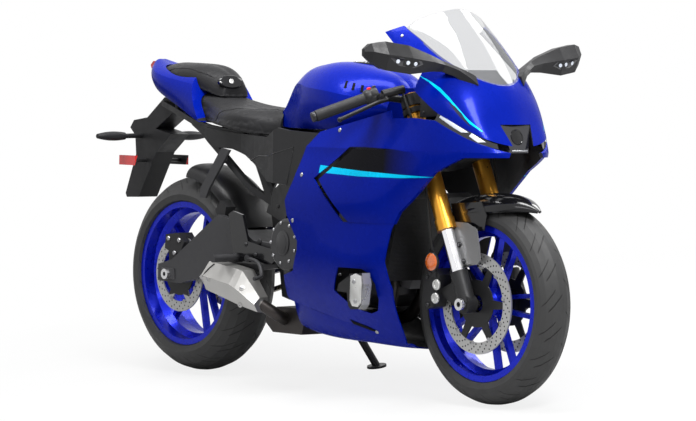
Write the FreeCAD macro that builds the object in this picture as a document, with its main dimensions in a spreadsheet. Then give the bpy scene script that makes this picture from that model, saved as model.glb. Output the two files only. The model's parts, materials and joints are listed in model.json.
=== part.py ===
import FreeCAD, Part
import math
import os
import Sketcher
from FreeCAD import Placement, Rotation, Vector

# A sport motorcycle with a full fairing, parked on its side stand.
# It is modelled upright: X forward from under the rear axle, Y to the left, Z up from the ground.
# Every finished piece is then leaned onto the stand and moved so that the origin lies on the ground,
# under the middle of the whole machine.

doc = FreeCAD.newDocument("SportMotorcycle")
sheet = doc.addObject("Spreadsheet::Sheet", "dims")

DRIVING_SIZES = [
    # whole machine
    ("wheelbase", 1395, "rear axle to front axle"),
    ("overall_height", 1164, "ground to the top of the windscreen"),
    ("fairing_half_width", 240, "centre plane to the widest fairing"),
    ("axle_level", 0.25773, "height of the front axle, share of the overall height as drawn"),
    ("head_setback", 0.27190, "steering axis back from axle level to full height, share of the wheelbase"),
    ("axle_offset", 41.7, "steering axis behind the front axle, level with it"),
    ("lean_angle", 10, "lean on the side stand, degrees"),
    # tyres
    ("front_tyre_radius", 300, ""),
    ("front_tyre_width", 120, ""),
    ("rear_tyre_radius", 315, ""),
    ("rear_tyre_width", 178, ""),
    ("tyre_wall", 9, "thickness of the tread and the sidewalls"),
    # rims and hubs
    ("rim_radius", 231, "outer edge of the rim flange"),
    ("rim_well_radius", 196, "inside of the rim barrel"),
    ("bead_seat_radius", 219, ""),
    ("rim_wall", 6, "thickness of the barrel"),
    ("flange_wall", 5, "thickness of the rim flange"),
    ("front_rim_width", 104, ""),
    ("rear_rim_width", 152, ""),
    ("front_hub_radius", 44, ""),
    ("front_hub_width", 96, ""),
    ("rear_hub_radius", 56, ""),
    ("rear_hub_width", 140, ""),
    ("spoke_pairs", 5, "count of twin spokes in a wheel"),
    ("spoke_width", 13, ""),
    ("spoke_depth", 22, "spoke size along the axle"),
    ("spoke_gap_hub", 17, "half of the distance between twin spokes at the hub"),
    ("spoke_gap_rim", 34, "half of the distance between twin spokes at the rim"),
    # axles
    ("front_axle_radius", 12.5, ""),
    ("front_axle_bore", 8, "radius of the hollow of the front axle"),
    ("rear_axle_radius", 12, ""),
    ("rear_axle_half_length", 158, ""),
    ("rear_axle_bore", 7, "radius of the hollow of the rear axle"),
    ("running_gap", 0.3, "clearance of turning parts"),
    # brakes
    ("front_disc_radius", 149, ""),
    ("front_disc_inner", 114, "inner radius of the front brake ring"),
    ("front_disc_plane", 66, "centre plane to the middle of the front disc"),
    ("disc_thickness", 5, ""),
    ("disc_hole_radius", 3, ""),
    ("disc_hole_count", 18, "holes in one ring of holes"),
    ("carrier_radius", 70, "bolt circle of the disc carrier"),
    ("rear_disc_radius", 122.5, ""),
    ("rear_disc_inner", 90, ""),
    ("rear_disc_plane", 94, ""),
    # final drive
    ("chain_plane", 104, "centre plane to the middle of the chain"),
    ("chain_width", 17, ""),
    ("chain_pitch", 15.875, ""),
    ("chain_height", 14, "height of the link plates"),
    ("rear_teeth", 42, ""),
    ("front_teeth", 16, ""),
    ("sprocket_thickness", 7, ""),
    # front fork
    ("fork_half_spacing", 104, "centre plane to a fork leg"),
    ("fork_outer_radius", 27, "gold outer tube"),
    ("fork_collar_radius", 30, "lower end of the outer tube"),
    ("fork_inner_radius", 20.5, "chromed inner tube"),
    ("fork_outer_end", 0.2685, "lower end of the outer tube above the axle, share of the fork rise"),
    ("fork_top", 0.7662, "top of the leg above the axle, share of the fork rise"),
    ("fork_foot_length", 100, "length of the cast fork foot above the axle"),
    ("stem_radius", 15, ""),
    ("head_tube_radius", 31, ""),
    ("head_tube_length", 0.1331, "share of the fork rise"),
    ("yoke_thickness", 26, ""),
    ("lower_yoke_height", 0.5150, "lower yoke above the axle, share of the fork rise"),
    ("upper_yoke_height", 0.6944, "upper yoke above the axle, share of the fork rise"),
    # controls
    ("grip_radius", 17, ""),
    ("bar_radius", 11, ""),
    ("lever_radius", 6, ""),
    # bodywork
    ("panel_wall", 4, "thickness of a fairing panel"),
    ("screen_wall", 3, "thickness of the windscreen"),
    ("seam", 1, "gap between neighbouring panels"),
    # structure
    ("swingarm_plane", 131, "centre plane to the middle of a swingarm leg"),
    ("swingarm_wall", 25, "width of a swingarm leg"),
    ("frame_tube_radius", 17, ""),
    ("rail_radius", 11, "seat rail tube"),
    ("header_radius", 19, "exhaust header pipe"),
    ("stand_radius", 12, "side stand leg"),
    ("stand_foot", 62, "length of the stand's foot plate"),
    # fittings of the wheels and brakes
    ("boss_inner", 26, "disc and sprocket bosses, inner radius"),
    ("boss_outer", 42, "disc and sprocket bosses, outer radius"),
    ("arm_width", 20, "arm of a disc carrier"),
    ("disc_arms", 6, "count of carrier arms"),
    ("disc_slot", 12, "room for the disc in a caliper"),
    ("axle_head", 10, "head at each end of an axle"),
    ("front_axle_half_length", 140, ""),
    ("caliper_in", 46, ""),
    ("caliper_out", 122, ""),
    ("rear_caliper_in", 24, ""),
    ("rear_caliper_out", 30, ""),
    # fittings of the fork
    ("collar_length", 34, ""),
    ("clamp_width", 36, ""),
    ("clamp_radius", 27, "clamp round the front axle"),
    ("fork_foot_radius", 26, ""),
    ("ear_inset", 10, ""),
    ("ear_reach", 92, "caliper lug behind the leg"),
    ("caliper_height", 62, "caliper lug above the axle, along the leg"),
    ("stem_bore", 9, "radius of the hollow of the steering stem"),
    ("yoke_reach", 9, "wall of the clamps round a leg"),
    ("upper_yoke_thickness", 16, ""),
    ("head_low_height", 0.5532, "lower end of the head tube above the axle, share of the fork rise"),
    ("fender_half_width", 70, ""),
    ("fender_drop", 52, ""),
    ("fender_skirt_in", 69.5, ""),
    ("fender_guard_in", 84, ""),
    # fittings of the bars
    ("bar_height", 0.7411, "share of the fork rise"),
    ("bar_wall", 4, "closed end of a grip"),
    ("ring_wall", 7, "wall of the bar clamp"),
    ("switch_radius", 20, ""),
    ("lever_ball", 8, ""),
    ("master_radius", 13, ""),
    ("hose_radius", 4, ""),
    ("arc_share", 0.45, "reach of a hose bend as a share of the shorter run"),
    # fittings of the structure
    ("nose_stay_half", 18, ""),
    ("beam_out", 172, ""),
    ("pivot_plate_in", 62, ""),
    ("pivot_plate_out", 84, ""),
    ("pivot_radius", 14, "swingarm pivot bore"),
    ("crankcase_half", 118, ""),
    ("cylinder_half", 100, ""),
    ("gearbox_half", 85, ""),
    ("clutch_radius", 82, ""),
    ("clutch_reach", 200, ""),
    ("cover_depth", 40, ""),
    ("cover_rounding", 12, ""),
    ("generator_radius", 72, ""),
    ("radiator_half", 150, ""),
    ("bottle_half", 34, ""),
    ("chamber_half", 110, ""),
    ("shock_radius", 30, ""),
    ("chain_arc_steps", 32, "count of straight runs round the rear sprocket"),
    ("hugger_radius", 356, ""),
    ("hugger_half", 92, ""),
    ("hugger_drop", 40, ""),
    ("shaft_radius", 15, "gearbox shaft of the front sprocket"),
    ("stand_pin", 5, "pin of the side stand"),
    ("stand_eye", 20, "eye of the side stand"),
    ("stay_radius", 7, "small stays of the bodywork"),
    ("wing_rise", 7, "how far the front panel stands proud of the rear one"),
    ("rest_in", 150, ""),
    ("peg_radius", 12, ""),
    ("pillion_in", 128, ""),
    ("slider_in", 216, ""),
    ("slider_out", 248, ""),
    # stand
    ("ground_rise", 1.2, "lift of the machine as it rolls onto the tyre shoulders"),
    ("stand_axis_along", -0.14, "slope of the stand's hinge, along"),
    ("stand_axis_up", 0.194, "slope of the stand's hinge, upwards"),
    ("stand_reach", 236, "centre plane to the foot of the stand"),
    ("stand_ahead", 596, "rear axle to the foot of the stand"),
    ("foot_thickness", 7, ""),
    # fittings of the bodywork
    ("lamp_depth", 30, ""),
    ("lamp_inner", 88, "centre plane to the inner end of a running lamp"),
    ("instrument_half", 84, ""),
    ("shelf_gap", 3, ""),
    ("stud_length", 48, ""),
    ("stud_radius", 8, ""),
    ("post_half", 12, ""),
    ("cover_wall", 6, ""),
    ("cap_radius", 40, ""),
    ("cap_gap", 1, "round the cap"),
    ("cap_depth", 8, ""),
    ("cap_rise", 8, ""),
    ("cap_rounding", 3, ""),
    ("cap_slope", 0.02, ""),
    ("neck_radius", 28, ""),
    ("side_cover_out", 166, ""),
    ("tail_lamp_half", 30, ""),
    ("plate_half", 38, ""),
    ("signal_radius", 15, ""),
    ("signal_stalk", 8, ""),
    ("reflector_in", 100, ""),
    ("reflector_out", 110, ""),
    ("right_angle", 90, "degrees"),
]
for row, (alias, value, note) in enumerate(DRIVING_SIZES, start=1):
    sheet.set(f"A{row}", alias)
    sheet.set(f"B{row}", str(value))
    sheet.setAlias(f"B{row}", alias)
    sheet.set(f"C{row}", note)
doc.recompute()


def size(alias):
    """The value of a driving size."""
    return float(sheet.get(alias))


RISE = size("overall_height") - size("front_tyre_radius")


def level(share):
    """A height above the ground: the wheel sets it up to the front axle, the overall height above it."""
    axle_share = size("axle_level")
    if share < axle_share:
        return share / axle_share * size("front_tyre_radius")
    return size("front_tyre_radius") + (share - axle_share) / (1 - axle_share) * RISE


def at(share):
    """A point of the bodywork from its shares of the wheelbase, half width and height."""
    along, across, up = share
    return Vector(
        along * size("wheelbase"),
        across * size("fairing_half_width"),
        level(up),
    )


def side(share, across=0.0):
    """A point of the side view from its shares of the wheelbase and the height."""
    along, up = share
    return Vector(along * size("wheelbase"), across, level(up))


def front(share, along=0.0):
    """A point of the front view from its shares of the half width and the height."""
    across, up = share
    return Vector(along, across * size("fairing_half_width"), level(up))


# steering geometry
RAKE = math.atan2(size("head_setback") * size("wheelbase"), RISE)
STEER_AXIS = Vector(-math.sin(RAKE), 0, math.cos(RAKE))
STEER_ACROSS = Vector(math.cos(RAKE), 0, math.sin(RAKE))
FRONT_AXLE = Vector(size("wheelbase"), 0, size("front_tyre_radius"))
REAR_AXLE = Vector(0, 0, size("rear_tyre_radius"))
STEER_LEVEL = FRONT_AXLE - STEER_ACROSS * (size("axle_offset") * math.cos(RAKE))
STEER_FOOT = STEER_LEVEL - STEER_AXIS * (STEER_LEVEL.z / math.cos(RAKE))
LEFT = Vector(0, 1, 0)


def on_leg(height, across=0.0, ahead=0.0):
    """A point on the line of the fork legs, height up from the axle along the leg."""
    return FRONT_AXLE + STEER_AXIS * height + Vector(0, across, 0) + STEER_ACROSS * ahead


def up_leg(name):
    """A height along the leg, from the share of the fork rise that the named size holds."""
    return size(name) * RISE


def on_stem(height, ahead=0.0):
    """A point on the steering axis, height up from the level of the axle."""
    return STEER_LEVEL + STEER_AXIS * height + STEER_ACROSS * ahead


# basic shapes
def cylinder(base, direction, radius, length):
    return Part.makeCylinder(radius, length, base, direction)


def rod(start, end, radius):
    return Part.makeCylinder(radius, (end - start).Length, start, end - start)


def pipe(points, radius):
    """A round bar along straight runs, joined by tangent arcs as large as the runs allow."""
    edges, here = [], points[0]
    for before, corner, after in zip(points, points[1:], points[2:]):
        reach = min((corner - before).Length, (after - corner).Length) * size("arc_share")
        to, on = (corner - before).normalize(), (after - corner).normalize()
        start, end = corner - to * reach, corner + on * reach
        middle = corner + (on - to).normalize() * (reach * math.tan(to.getAngle(on) / 4))
        edges.append(Part.makeLine(here, start))
        edges.append(Part.Arc(start, middle, end).toShape())
        here = end
    edges.append(Part.makeLine(here, points[-1]))
    ring = Part.Wire(Part.makeCircle(radius, points[0], points[1] - points[0]))
    return Part.Wire(edges).makePipeShell([ring], True, True)


def largest(shape):
    """The biggest solid of a shape that a cut may have left in several."""
    return max(shape.Solids, key=lambda solid: solid.Volume)


def prism(points, depth):
    """The flat outline through the points, extruded along the vector depth."""
    return Part.Face(Part.makePolygon(points + points[:1])).extrude(depth)


def side_plate(shares, low, high):
    """A plate with an outline in the side view, from Y = low to Y = high."""
    return prism([side(s, low) for s in shares], Vector(0, high - low, 0))


def mirrored(shape):
    return shape.mirror(Vector(0, 0, 0), LEFT)


def both(shape):
    """The shape with its mirror image on the other side."""
    return Part.makeCompound([shape, mirrored(shape)])


def joined(shapes):
    """One solid out of shapes that touch."""
    result = shapes[0]
    for other in shapes[1:]:
        result = result.fuse(other)
    return result.removeSplitter()


def rounded(shape, radius, pick=None):
    """The shape with its edges rounded, those that pick accepts or all."""
    edges = [e for e in shape.Edges if pick is None or pick(e)]
    return shape.makeFillet(radius, edges)


def path_edges(points, breaks=()):
    """Edges through the points: one smooth curve between breaks, a straight line between two points."""
    stops = [0, *breaks, len(points) - 1]
    edges = []
    for first, last in zip(stops, stops[1:]):
        span = points[first:last + 1]
        if len(span) == 2:
            edges.append(Part.makeLine(span[0], span[1]))
        else:
            curve = Part.BSplineCurve()
            curve.interpolate(span)
            edges.append(curve.toShape())
    return edges


def inset(points, wall, normal, inside):
    """The points moved by wall towards the inside, within the plane of the given normal."""
    moved = []
    middle = points[len(points) // 2]
    tangent = points[-1] - points[0]
    sign = 1 if normal.cross(tangent).dot(inside - middle) > 0 else -1
    for i, point in enumerate(points):
        before = points[max(i - 1, 0)]
        after = points[min(i + 1, len(points) - 1)]
        across = normal.cross(after - before)
        across.normalize()
        moved.append(point + across * (sign * wall))
    return moved


def skin_section(points, wall, normal, inside, breaks=()):
    """The closed outline of a thin skin: the points outside, and their inset."""
    inner = inset(points, wall, normal, inside)
    flipped = inner[::-1]
    turned = [len(points) - 1 - b for b in reversed(breaks)]
    edges = path_edges(points, breaks)
    edges.append(Part.makeLine(points[-1], inner[-1]))
    edges += path_edges(flipped, turned)
    edges.append(Part.makeLine(inner[0], points[0]))
    return Part.Wire(edges)


def skin(stations, wall, normal, inside, breaks=()):
    """A thin curved panel through rows of points; inside gives a point behind each row."""
    wires = [skin_section(row, wall, normal, inside(row), breaks) for row in stations]
    return Part.makeLoft(wires, True, False)


def body_section(half, breaks=()):
    """A closed outline from a half outline: from the top centre out and down to the bottom centre."""
    other = [Vector(p.x, -p.y, p.z) for p in half[::-1]]
    last = len(half) - 1
    edges = path_edges(half, breaks)
    edges += path_edges(other, [last - b for b in reversed(breaks)])
    return Part.Wire(edges)


def ruled(rows):
    """A faceted body through flat sections with as many corners each."""
    wires = []
    for row in rows:
        points = [at(s) for s in row]
        wires.append(Part.makePolygon(points + points[:1]))
    return Part.makeLoft(wires, True, True)


def add(label, shape):
    """A sub-part whose shape is made here from the driving sizes."""
    feature = doc.addObject("Part::Feature", label)
    feature.Label = label
    feature.Shape = shape
    pieces[label] = feature
    return feature


def plane_of(body, role):
    return [o for o in body.Origin.OriginFeatures if o.Role == role][0]


def new_sketch(body, name, role):
    sketch = body.newObject("Sketcher::SketchObject", name)
    sketch.AttachmentSupport = [(plane_of(body, role), "")]
    sketch.MapMode = "FlatFace"
    return sketch


def value_of(expression):
    """The number that an expression in driving sizes gives, to draw the sketch near its solution."""
    sheet.set("E1", "=" + expression.replace("dims.", ""))
    sheet.recompute()
    value = float(sheet.get("E1"))
    sheet.clear("E1")
    return value


def outline(sketch, corners):
    """A closed outline of straight lines, each corner's two coordinates bound to expressions."""
    first = sketch.GeometryCount
    count = len(corners)
    spots = [Vector(value_of(a), value_of(b), 0) for a, b in corners]
    for i in range(count):
        sketch.addGeometry(Part.LineSegment(spots[i], spots[(i + 1) % count]), False)
    for i in range(count):
        sketch.addConstraint(
            Sketcher.Constraint("Coincident", first + i, 2, first + (i + 1) % count, 1)
        )
    for i, (a, b) in enumerate(corners):
        for kind, text, number in (("DistanceX", a, spots[i].x), ("DistanceY", b, spots[i].y)):
            index = sketch.addConstraint(
                Sketcher.Constraint(kind, -1, 1, first + i, 1, number)
            )
            sketch.setExpression(f"Constraints[{index}]", text)


def circle(sketch, across, up, radius):
    """A circle whose centre and radius are bound to expressions."""
    index = sketch.addGeometry(
        Part.Circle(Vector(value_of(across), value_of(up), 0), Vector(0, 0, 1), value_of(radius)),
        False,
    )
    for kind, text in (("DistanceX", across), ("DistanceY", up)):
        number = sketch.addConstraint(
            Sketcher.Constraint(kind, -1, 1, index, 3, value_of(text))
        )
        sketch.setExpression(f"Constraints[{number}]", text)
    number = sketch.addConstraint(Sketcher.Constraint("Radius", index, value_of(radius)))
    sketch.setExpression(f"Constraints[{number}]", radius)


def revolved(body, name, corners):
    """A ring about the body's Y axis; corners are (radius, place along the axle)."""
    sketch = new_sketch(body, name + "_profile", "XY_Plane")
    outline(sketch, corners)
    feature = body.newObject("PartDesign::Revolution", name)
    feature.Profile = sketch
    feature.ReferenceAxis = (sketch, ["V_Axis"])
    feature.Angle = 360
    return feature


def new_body(label):
    body = doc.addObject("PartDesign::Body", label)
    body.Label = label
    pieces[label] = body
    return body


def around(body, name, feature, count):
    """The feature repeated evenly about the body's Y axis."""
    pattern = body.newObject("PartDesign::PolarPattern", name)
    pattern.Originals = [feature]
    pattern.Axis = (plane_of(body, "Y_Axis"), [""])
    pattern.Angle = 360
    pattern.setExpression("Occurrences", count)
    body.Tip = pattern
    return pattern


pieces = {}


def pad_across(body, name, corner_sets, thickness, place="0"):
    """A plate square to the axle: outlines in the wheel's plane, thickness about the given place."""
    sketch = new_sketch(body, name + "_profile", "XZ_Plane")
    for corners in corner_sets:
        outline(sketch, corners)
    sketch.setExpression("AttachmentOffset.Base.z", "-(" + place + ")")
    feature = body.newObject("PartDesign::Pad", name)
    feature.Profile = sketch
    feature.setExpression("Length", thickness)
    feature.Midplane = True
    return feature


# tyres: outside outline as shares of the tyre's own half width and of its section height
def tyre(label, prefix, crown_shares):
    body = new_body(label)
    radius, half = f"dims.{prefix}_tyre_radius", f"dims.{prefix}_tyre_width / 2"
    depth = f"({radius} - dims.bead_seat_radius)"
    bead = f"(dims.{prefix}_rim_width / 2 - dims.flange_wall)"
    outer = [
        (f"{radius} - {depth} * {drop}", f"{half} * {across}") for across, drop in crown_shares
    ]
    inner = [
        (f"{radius} - {depth} * {drop} - dims.tyre_wall", f"({half} - dims.tyre_wall) * {across}")
        for across, drop in crown_shares[1:5:3]
    ]
    right = [(r, f"-({y})") for r, y in reversed(outer[1:])]
    corners = right + outer
    corners.append(("dims.rim_radius + dims.seam", bead))
    corners.append(("dims.bead_seat_radius", bead))
    corners.append(("dims.bead_seat_radius", f"{bead} - dims.tyre_wall"))
    corners += [(r, y) for r, y in reversed(inner)]
    corners += [(r, f"-({y})") for r, y in inner]
    corners.append(("dims.bead_seat_radius", f"-({bead} - dims.tyre_wall)"))
    corners.append(("dims.bead_seat_radius", f"-{bead}"))
    corners.append(("dims.rim_radius + dims.seam", f"-{bead}"))
    revolved(body, label + "_ring", corners)
    return body


FRONT_CROWN_SHARES = [
    (0, 0), (0.233, 0.0148), (0.53, 0.105), (0.80, 0.29), (0.95, 0.47), (1, 0.6), (0.93, 0.82),
]
REAR_CROWN_SHARES = [
    (0, 0), (0.157, 0.0125), (0.44, 0.085), (0.70, 0.24), (0.89, 0.44), (1, 0.63), (0.96, 0.83),
]
tyre("front_tyre", "front", FRONT_CROWN_SHARES)
tyre("rear_tyre", "rear", REAR_CROWN_SHARES)


# wheels: hub, twin spokes, then the barrel of the rim
def wheel(label, prefix, axle):
    body = new_body(label)
    hub, width = f"dims.{prefix}_hub_radius", f"dims.{prefix}_hub_width"
    bore = f"(dims.{axle}_axle_radius + dims.running_gap)"
    revolved(body, label + "_hub", [
        (bore, f"-{width} / 2"), (f"{hub} * 0.62", f"-{width} / 2"), (hub, f"-{width} / 4"),
        (hub, f"{width} / 4"), (f"{hub} * 0.62", f"{width} / 2"), (bore, f"{width} / 2"),
    ])
    pair = []
    for sign in ("", "-"):
        pair.append([
            (f"{hub} * 0.75", f"{sign}(dims.spoke_gap_hub - dims.spoke_width / 2)"),
            ("dims.rim_well_radius", f"{sign}(dims.spoke_gap_rim - dims.spoke_width / 2)"),
            ("dims.rim_well_radius", f"{sign}(dims.spoke_gap_rim + dims.spoke_width / 2)"),
            (f"{hub} * 0.75", f"{sign}(dims.spoke_gap_hub + dims.spoke_width / 2)"),
        ])
    spoke = pad_across(body, label + "_spokes", pair, "dims.spoke_depth")
    around(body, label + "_spoke_ring", spoke, "dims.spoke_pairs")
    half = f"dims.{prefix}_rim_width / 2"
    outer, inner = "dims.bead_seat_radius", "(dims.bead_seat_radius - dims.rim_wall)"
    flange = f"({half} - dims.flange_wall)"
    well = "(dims.rim_well_radius + dims.rim_wall)"
    left = [
        (well, f"{half} / 4"), (outer, f"{half} / 2"), (outer, flange),
        ("dims.rim_radius", flange), ("dims.rim_radius", half), (inner, half),
        (inner, f"{half} / 2"), ("dims.rim_well_radius", f"{half} / 4"),
    ]
    right = [(r, f"-({y})") for r, y in reversed(left)]
    revolved(body, label + "_barrel", left + right)
    return body


wheel("front_rim", "front", "front")
wheel("rear_rim", "rear", "rear")


# brake discs: boss on the hub, arms of the carrier, the ring
def brake_disc(label, plane, sign, ring, inner, hub_side, arms):
    body = new_body(label)
    near = f"({plane} - dims.disc_thickness / 2)"
    far = f"({plane} + dims.disc_thickness / 2)"
    revolved(body, label + "_boss", [
        ("dims.boss_inner", f"{sign}{hub_side}"), ("dims.boss_outer", f"{sign}{hub_side}"),
        ("dims.boss_outer", f"{sign}{near}"), ("dims.carrier_radius", f"{sign}{near}"),
        ("dims.carrier_radius", f"{sign}{far}"), ("dims.boss_inner", f"{sign}{far}"),
    ])
    arm = pad_across(body, label + "_arm", [[
        ("dims.carrier_radius * 0.9", "-dims.arm_width * 0.7"),
        (f"({inner} + dims.disc_thickness)", "-dims.arm_width / 2"),
        (f"({inner} + dims.disc_thickness)", "dims.arm_width / 2"),
        ("dims.carrier_radius * 0.9", "dims.arm_width * 0.7"),
    ]], "dims.disc_thickness", f"{sign}{plane}")
    around(body, label + "_arms", arm, arms)
    revolved(body, label + "_ring", [
        (inner, f"{sign}{near}"), (ring, f"{sign}{near}"),
        (ring, f"{sign}{far}"), (inner, f"{sign}{far}"),
    ])
    return body


for label, sign in (("front_disc_left", ""), ("front_disc_right", "-")):
    brake_disc(label, "dims.front_disc_plane", sign, "dims.front_disc_radius",
               "dims.front_disc_inner", "dims.front_hub_width / 2", "dims.disc_arms")
brake_disc("rear_disc", "dims.rear_disc_plane", "-", "dims.rear_disc_radius",
           "dims.rear_disc_inner", "dims.rear_hub_width / 2", "dims.disc_arms")


# rear sprocket: plate with teeth and a boss on the hub
def chain_wheel(label, teeth, hub_side):
    body = new_body(label)
    near = "(dims.chain_plane - dims.sprocket_thickness / 2)"
    far = "(dims.chain_plane + dims.sprocket_thickness / 2)"
    root_radius = f"({teeth} * dims.chain_pitch / 2 / pi - dims.chain_height * 0.62)"
    revolved(body, label + "_plate", [
        ("dims.boss_inner", hub_side), ("dims.boss_outer", hub_side), ("dims.boss_outer", near),
        (root_radius, near), (root_radius, far), ("dims.boss_inner", far),
    ])
    return body


chain_wheel("rear_sprocket", "dims.rear_teeth", "dims.rear_hub_width / 2")

# axles
for label, prefix, reach in (("front_axle", "front", "dims.front_axle_half_length"),
                             ("rear_axle", "rear", "dims.rear_axle_half_length")):
    body = new_body(label)
    bore, shank = f"dims.{prefix}_axle_bore", f"dims.{prefix}_axle_radius"
    head = f"({reach} - dims.axle_head)"
    revolved(body, label + "_shaft", [
        (bore, f"-{reach}"), (f"{shank} * 1.4", f"-{reach}"), (f"{shank} * 1.4", f"-{head}"),
        (shank, f"-{head}"), (shank, head), (f"{shank} * 1.4", head), (f"{shank} * 1.4", reach),
        (bore, reach),
    ])

# front fork
outer_tubes, sliders = [], []
for across in (-size("fork_half_spacing"), size("fork_half_spacing")):
    low = on_leg(up_leg("fork_outer_end"), across)
    top = on_leg(up_leg("fork_top"), across)
    tube = rod(low, top, size("fork_outer_radius"))
    collar = rod(low, on_leg(up_leg("fork_outer_end") + size("collar_length"), across),
                 size("fork_collar_radius"))
    outer_tubes.append(joined([tube, collar]))
    foot = on_leg(0, across)
    shank = rod(on_leg(size("fork_foot_length") * 0.5, across),
                low - STEER_AXIS * size("seam"), size("fork_inner_radius"))
    foot_block = rod(foot, on_leg(size("fork_foot_length"), across), size("fork_foot_radius"))
    clamp = cylinder(FRONT_AXLE + Vector(0, across - size("clamp_width") / 2, 0), LEFT,
                     size("clamp_radius"), size("clamp_width"))
    bore = cylinder(FRONT_AXLE + Vector(0, across - size("clamp_width"), 0), LEFT,
                    size("front_axle_radius"), size("clamp_width") * 2)
    end = math.copysign(1, across)
    ear = prism([
        on_leg(-size("clamp_radius") * 0.5, across - end * size("ear_inset"), -size("clamp_radius")),
        on_leg(size("caliper_height"), across - end * size("ear_inset"), -size("ear_reach")),
        on_leg(size("caliper_height") * 1.3, across - end * size("ear_inset"), -size("ear_reach")),
        on_leg(size("caliper_height") * 1.3, across - end * size("ear_inset"), 0),
        on_leg(0, across - end * size("ear_inset"), 0),
    ], Vector(0, end * size("ear_inset") * 1.4, 0))
    sliders.append(joined([shank, foot_block, clamp, ear]).cut(bore))
add("fork_tubes", Part.makeCompound(outer_tubes))
add("fork_sliders", Part.makeCompound(sliders))


def yoke(height, thickness):
    """One triple clamp: a plate across the stem and both legs, with a bore for each."""
    reach, spread = size("yoke_reach"), size("fork_half_spacing")
    leg_ahead = (FRONT_AXLE - STEER_LEVEL).dot(STEER_ACROSS)
    corners = []
    for share_ahead, share_across in YOKE_SHARES:
        corners.append(on_stem(height, leg_ahead * share_ahead) + LEFT * (spread * share_across))
    plate = prism(corners, STEER_AXIS * thickness)
    clamps = [cylinder(on_stem(height, leg_ahead) + LEFT * (spread * s), STEER_AXIS,
                       size("fork_outer_radius") + reach, thickness) for s in (-1, 1)]
    plate = joined([plate, *clamps])
    for s in (-1, 1):
        plate = plate.cut(cylinder(on_stem(height - thickness, leg_ahead) + LEFT * (spread * s),
                                   STEER_AXIS, size("fork_outer_radius"), thickness * 3))
    return plate


YOKE_SHARES = [
    (1.6, -0.9), (1.2, -0.3), (1.2, 0.3), (1.6, 0.9), (0.2, 1), (-0.9, 0.35), (-0.9, -0.35),
    (0.2, -1),
]
STEM_LOW = up_leg("lower_yoke_height")
STEM_HIGH = up_leg("upper_yoke_height")
yokes = joined([yoke(STEM_LOW, size("yoke_thickness")),
                yoke(STEM_HIGH, size("upper_yoke_thickness")),
                rod(on_stem(STEM_LOW), on_stem(STEM_HIGH), size("stem_radius"))])
yokes = yokes.cut(rod(on_stem(STEM_LOW - size("yoke_thickness")),
                      on_stem(STEM_HIGH + size("yoke_thickness") * 2), size("stem_bore")))
add("yokes", yokes)

# bars, grips, levers with the master cylinders, on the right side and mirrored
BAR_SHARES = [
    (0.814, -0.433, 0.761), (0.791, -0.633, 0.772), (0.761, -0.896, 0.771),
    (0.710, -1.467, 0.723)
]
GRIP_SHARES = [(0.758, -0.921, 0.769), (0.710, -1.467, 0.723)]
LEVER_SHARES = [
    (0.811, -0.817, 0.767), (0.816, -1.000, 0.760), (0.804, -1.250, 0.737),
    (0.789, -1.467, 0.716)
]
MASTER_SHARES = [(0.817, -0.583, 0.794), (0.803, -0.858, 0.780)]
SWITCH_SHARES = [(0.772, -0.800, 0.771), (0.760, -0.904, 0.770)]
bar_root = on_leg(up_leg("bar_height"), -size("fork_half_spacing"))
clamp_half = STEER_AXIS * (size("clamp_width") / 2)
clamp_ring = rod(bar_root - clamp_half, bar_root + clamp_half,
                 size("fork_outer_radius") + size("ring_wall"))
leg_room = rod(on_leg(0, -size("fork_half_spacing")), on_leg(size("wheelbase"), -size("fork_half_spacing")),
               size("fork_outer_radius"))
bar = joined([pipe([bar_root] + [at(s) for s in BAR_SHARES[1:]], size("bar_radius")), clamp_ring,
              rod(at(SWITCH_SHARES[0]), at(SWITCH_SHARES[1]), size("switch_radius"))])
bar = largest(bar.cut(leg_room))
grip_start, grip_end = [at(s) for s in GRIP_SHARES]
grip_line = (grip_end - grip_start).normalize()
bar_end = grip_end - grip_line * size("bar_wall")
bar = bar.cut(rod(bar_end, grip_end + grip_line * size("bar_wall"), size("grip_radius") * 2))
grip = rod(grip_start, grip_end, size("grip_radius")).cut(rod(grip_start, bar_end, size("bar_radius")))
grip_room = rod(grip_start, grip_end, size("grip_radius")).cut(
    rod(grip_start - grip_line, grip_end, size("bar_radius")))
bar = largest(bar.cut(grip_room))
lever = pipe([at(s) for s in LEVER_SHARES], size("lever_radius"))
lever = joined([lever, Part.makeSphere(size("lever_ball"), at(LEVER_SHARES[-1]))])
master = rod(at(MASTER_SHARES[0]), at(MASTER_SHARES[1]), size("master_radius"))
link = rod(at(SWITCH_SHARES[0]), at(MASTER_SHARES[1]), size("lever_radius") * 1.3)
arm = rod(at(MASTER_SHARES[1]), at(LEVER_SHARES[0]), size("lever_radius") * 1.3)
controls = joined([lever, master, link, arm]).cut(bar).cut(grip)
controls = largest(controls)
add("handlebars", both(bar))
add("hand_grips", both(grip))
add("control_levers", both(controls))

# front mudguard: hoop of arc sections over the tyre, square side plates down to the fork feet
def fender_row(turn, radius_share, half_share):
    """One cross section of the mudguard at an angle about the front axle, from the left round."""
    radius = size("front_tyre_radius") * radius_share
    half = size("fender_half_width") * half_share
    spoke = Vector(math.sin(math.radians(turn)), 0, math.cos(math.radians(turn)))
    points = []
    for across_share, drop_share in FENDER_ARC_SHARES:
        points.append(FRONT_AXLE + spoke * (radius - size("fender_drop") * drop_share * half_share)
                      + LEFT * (half * across_share))
    return points


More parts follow.
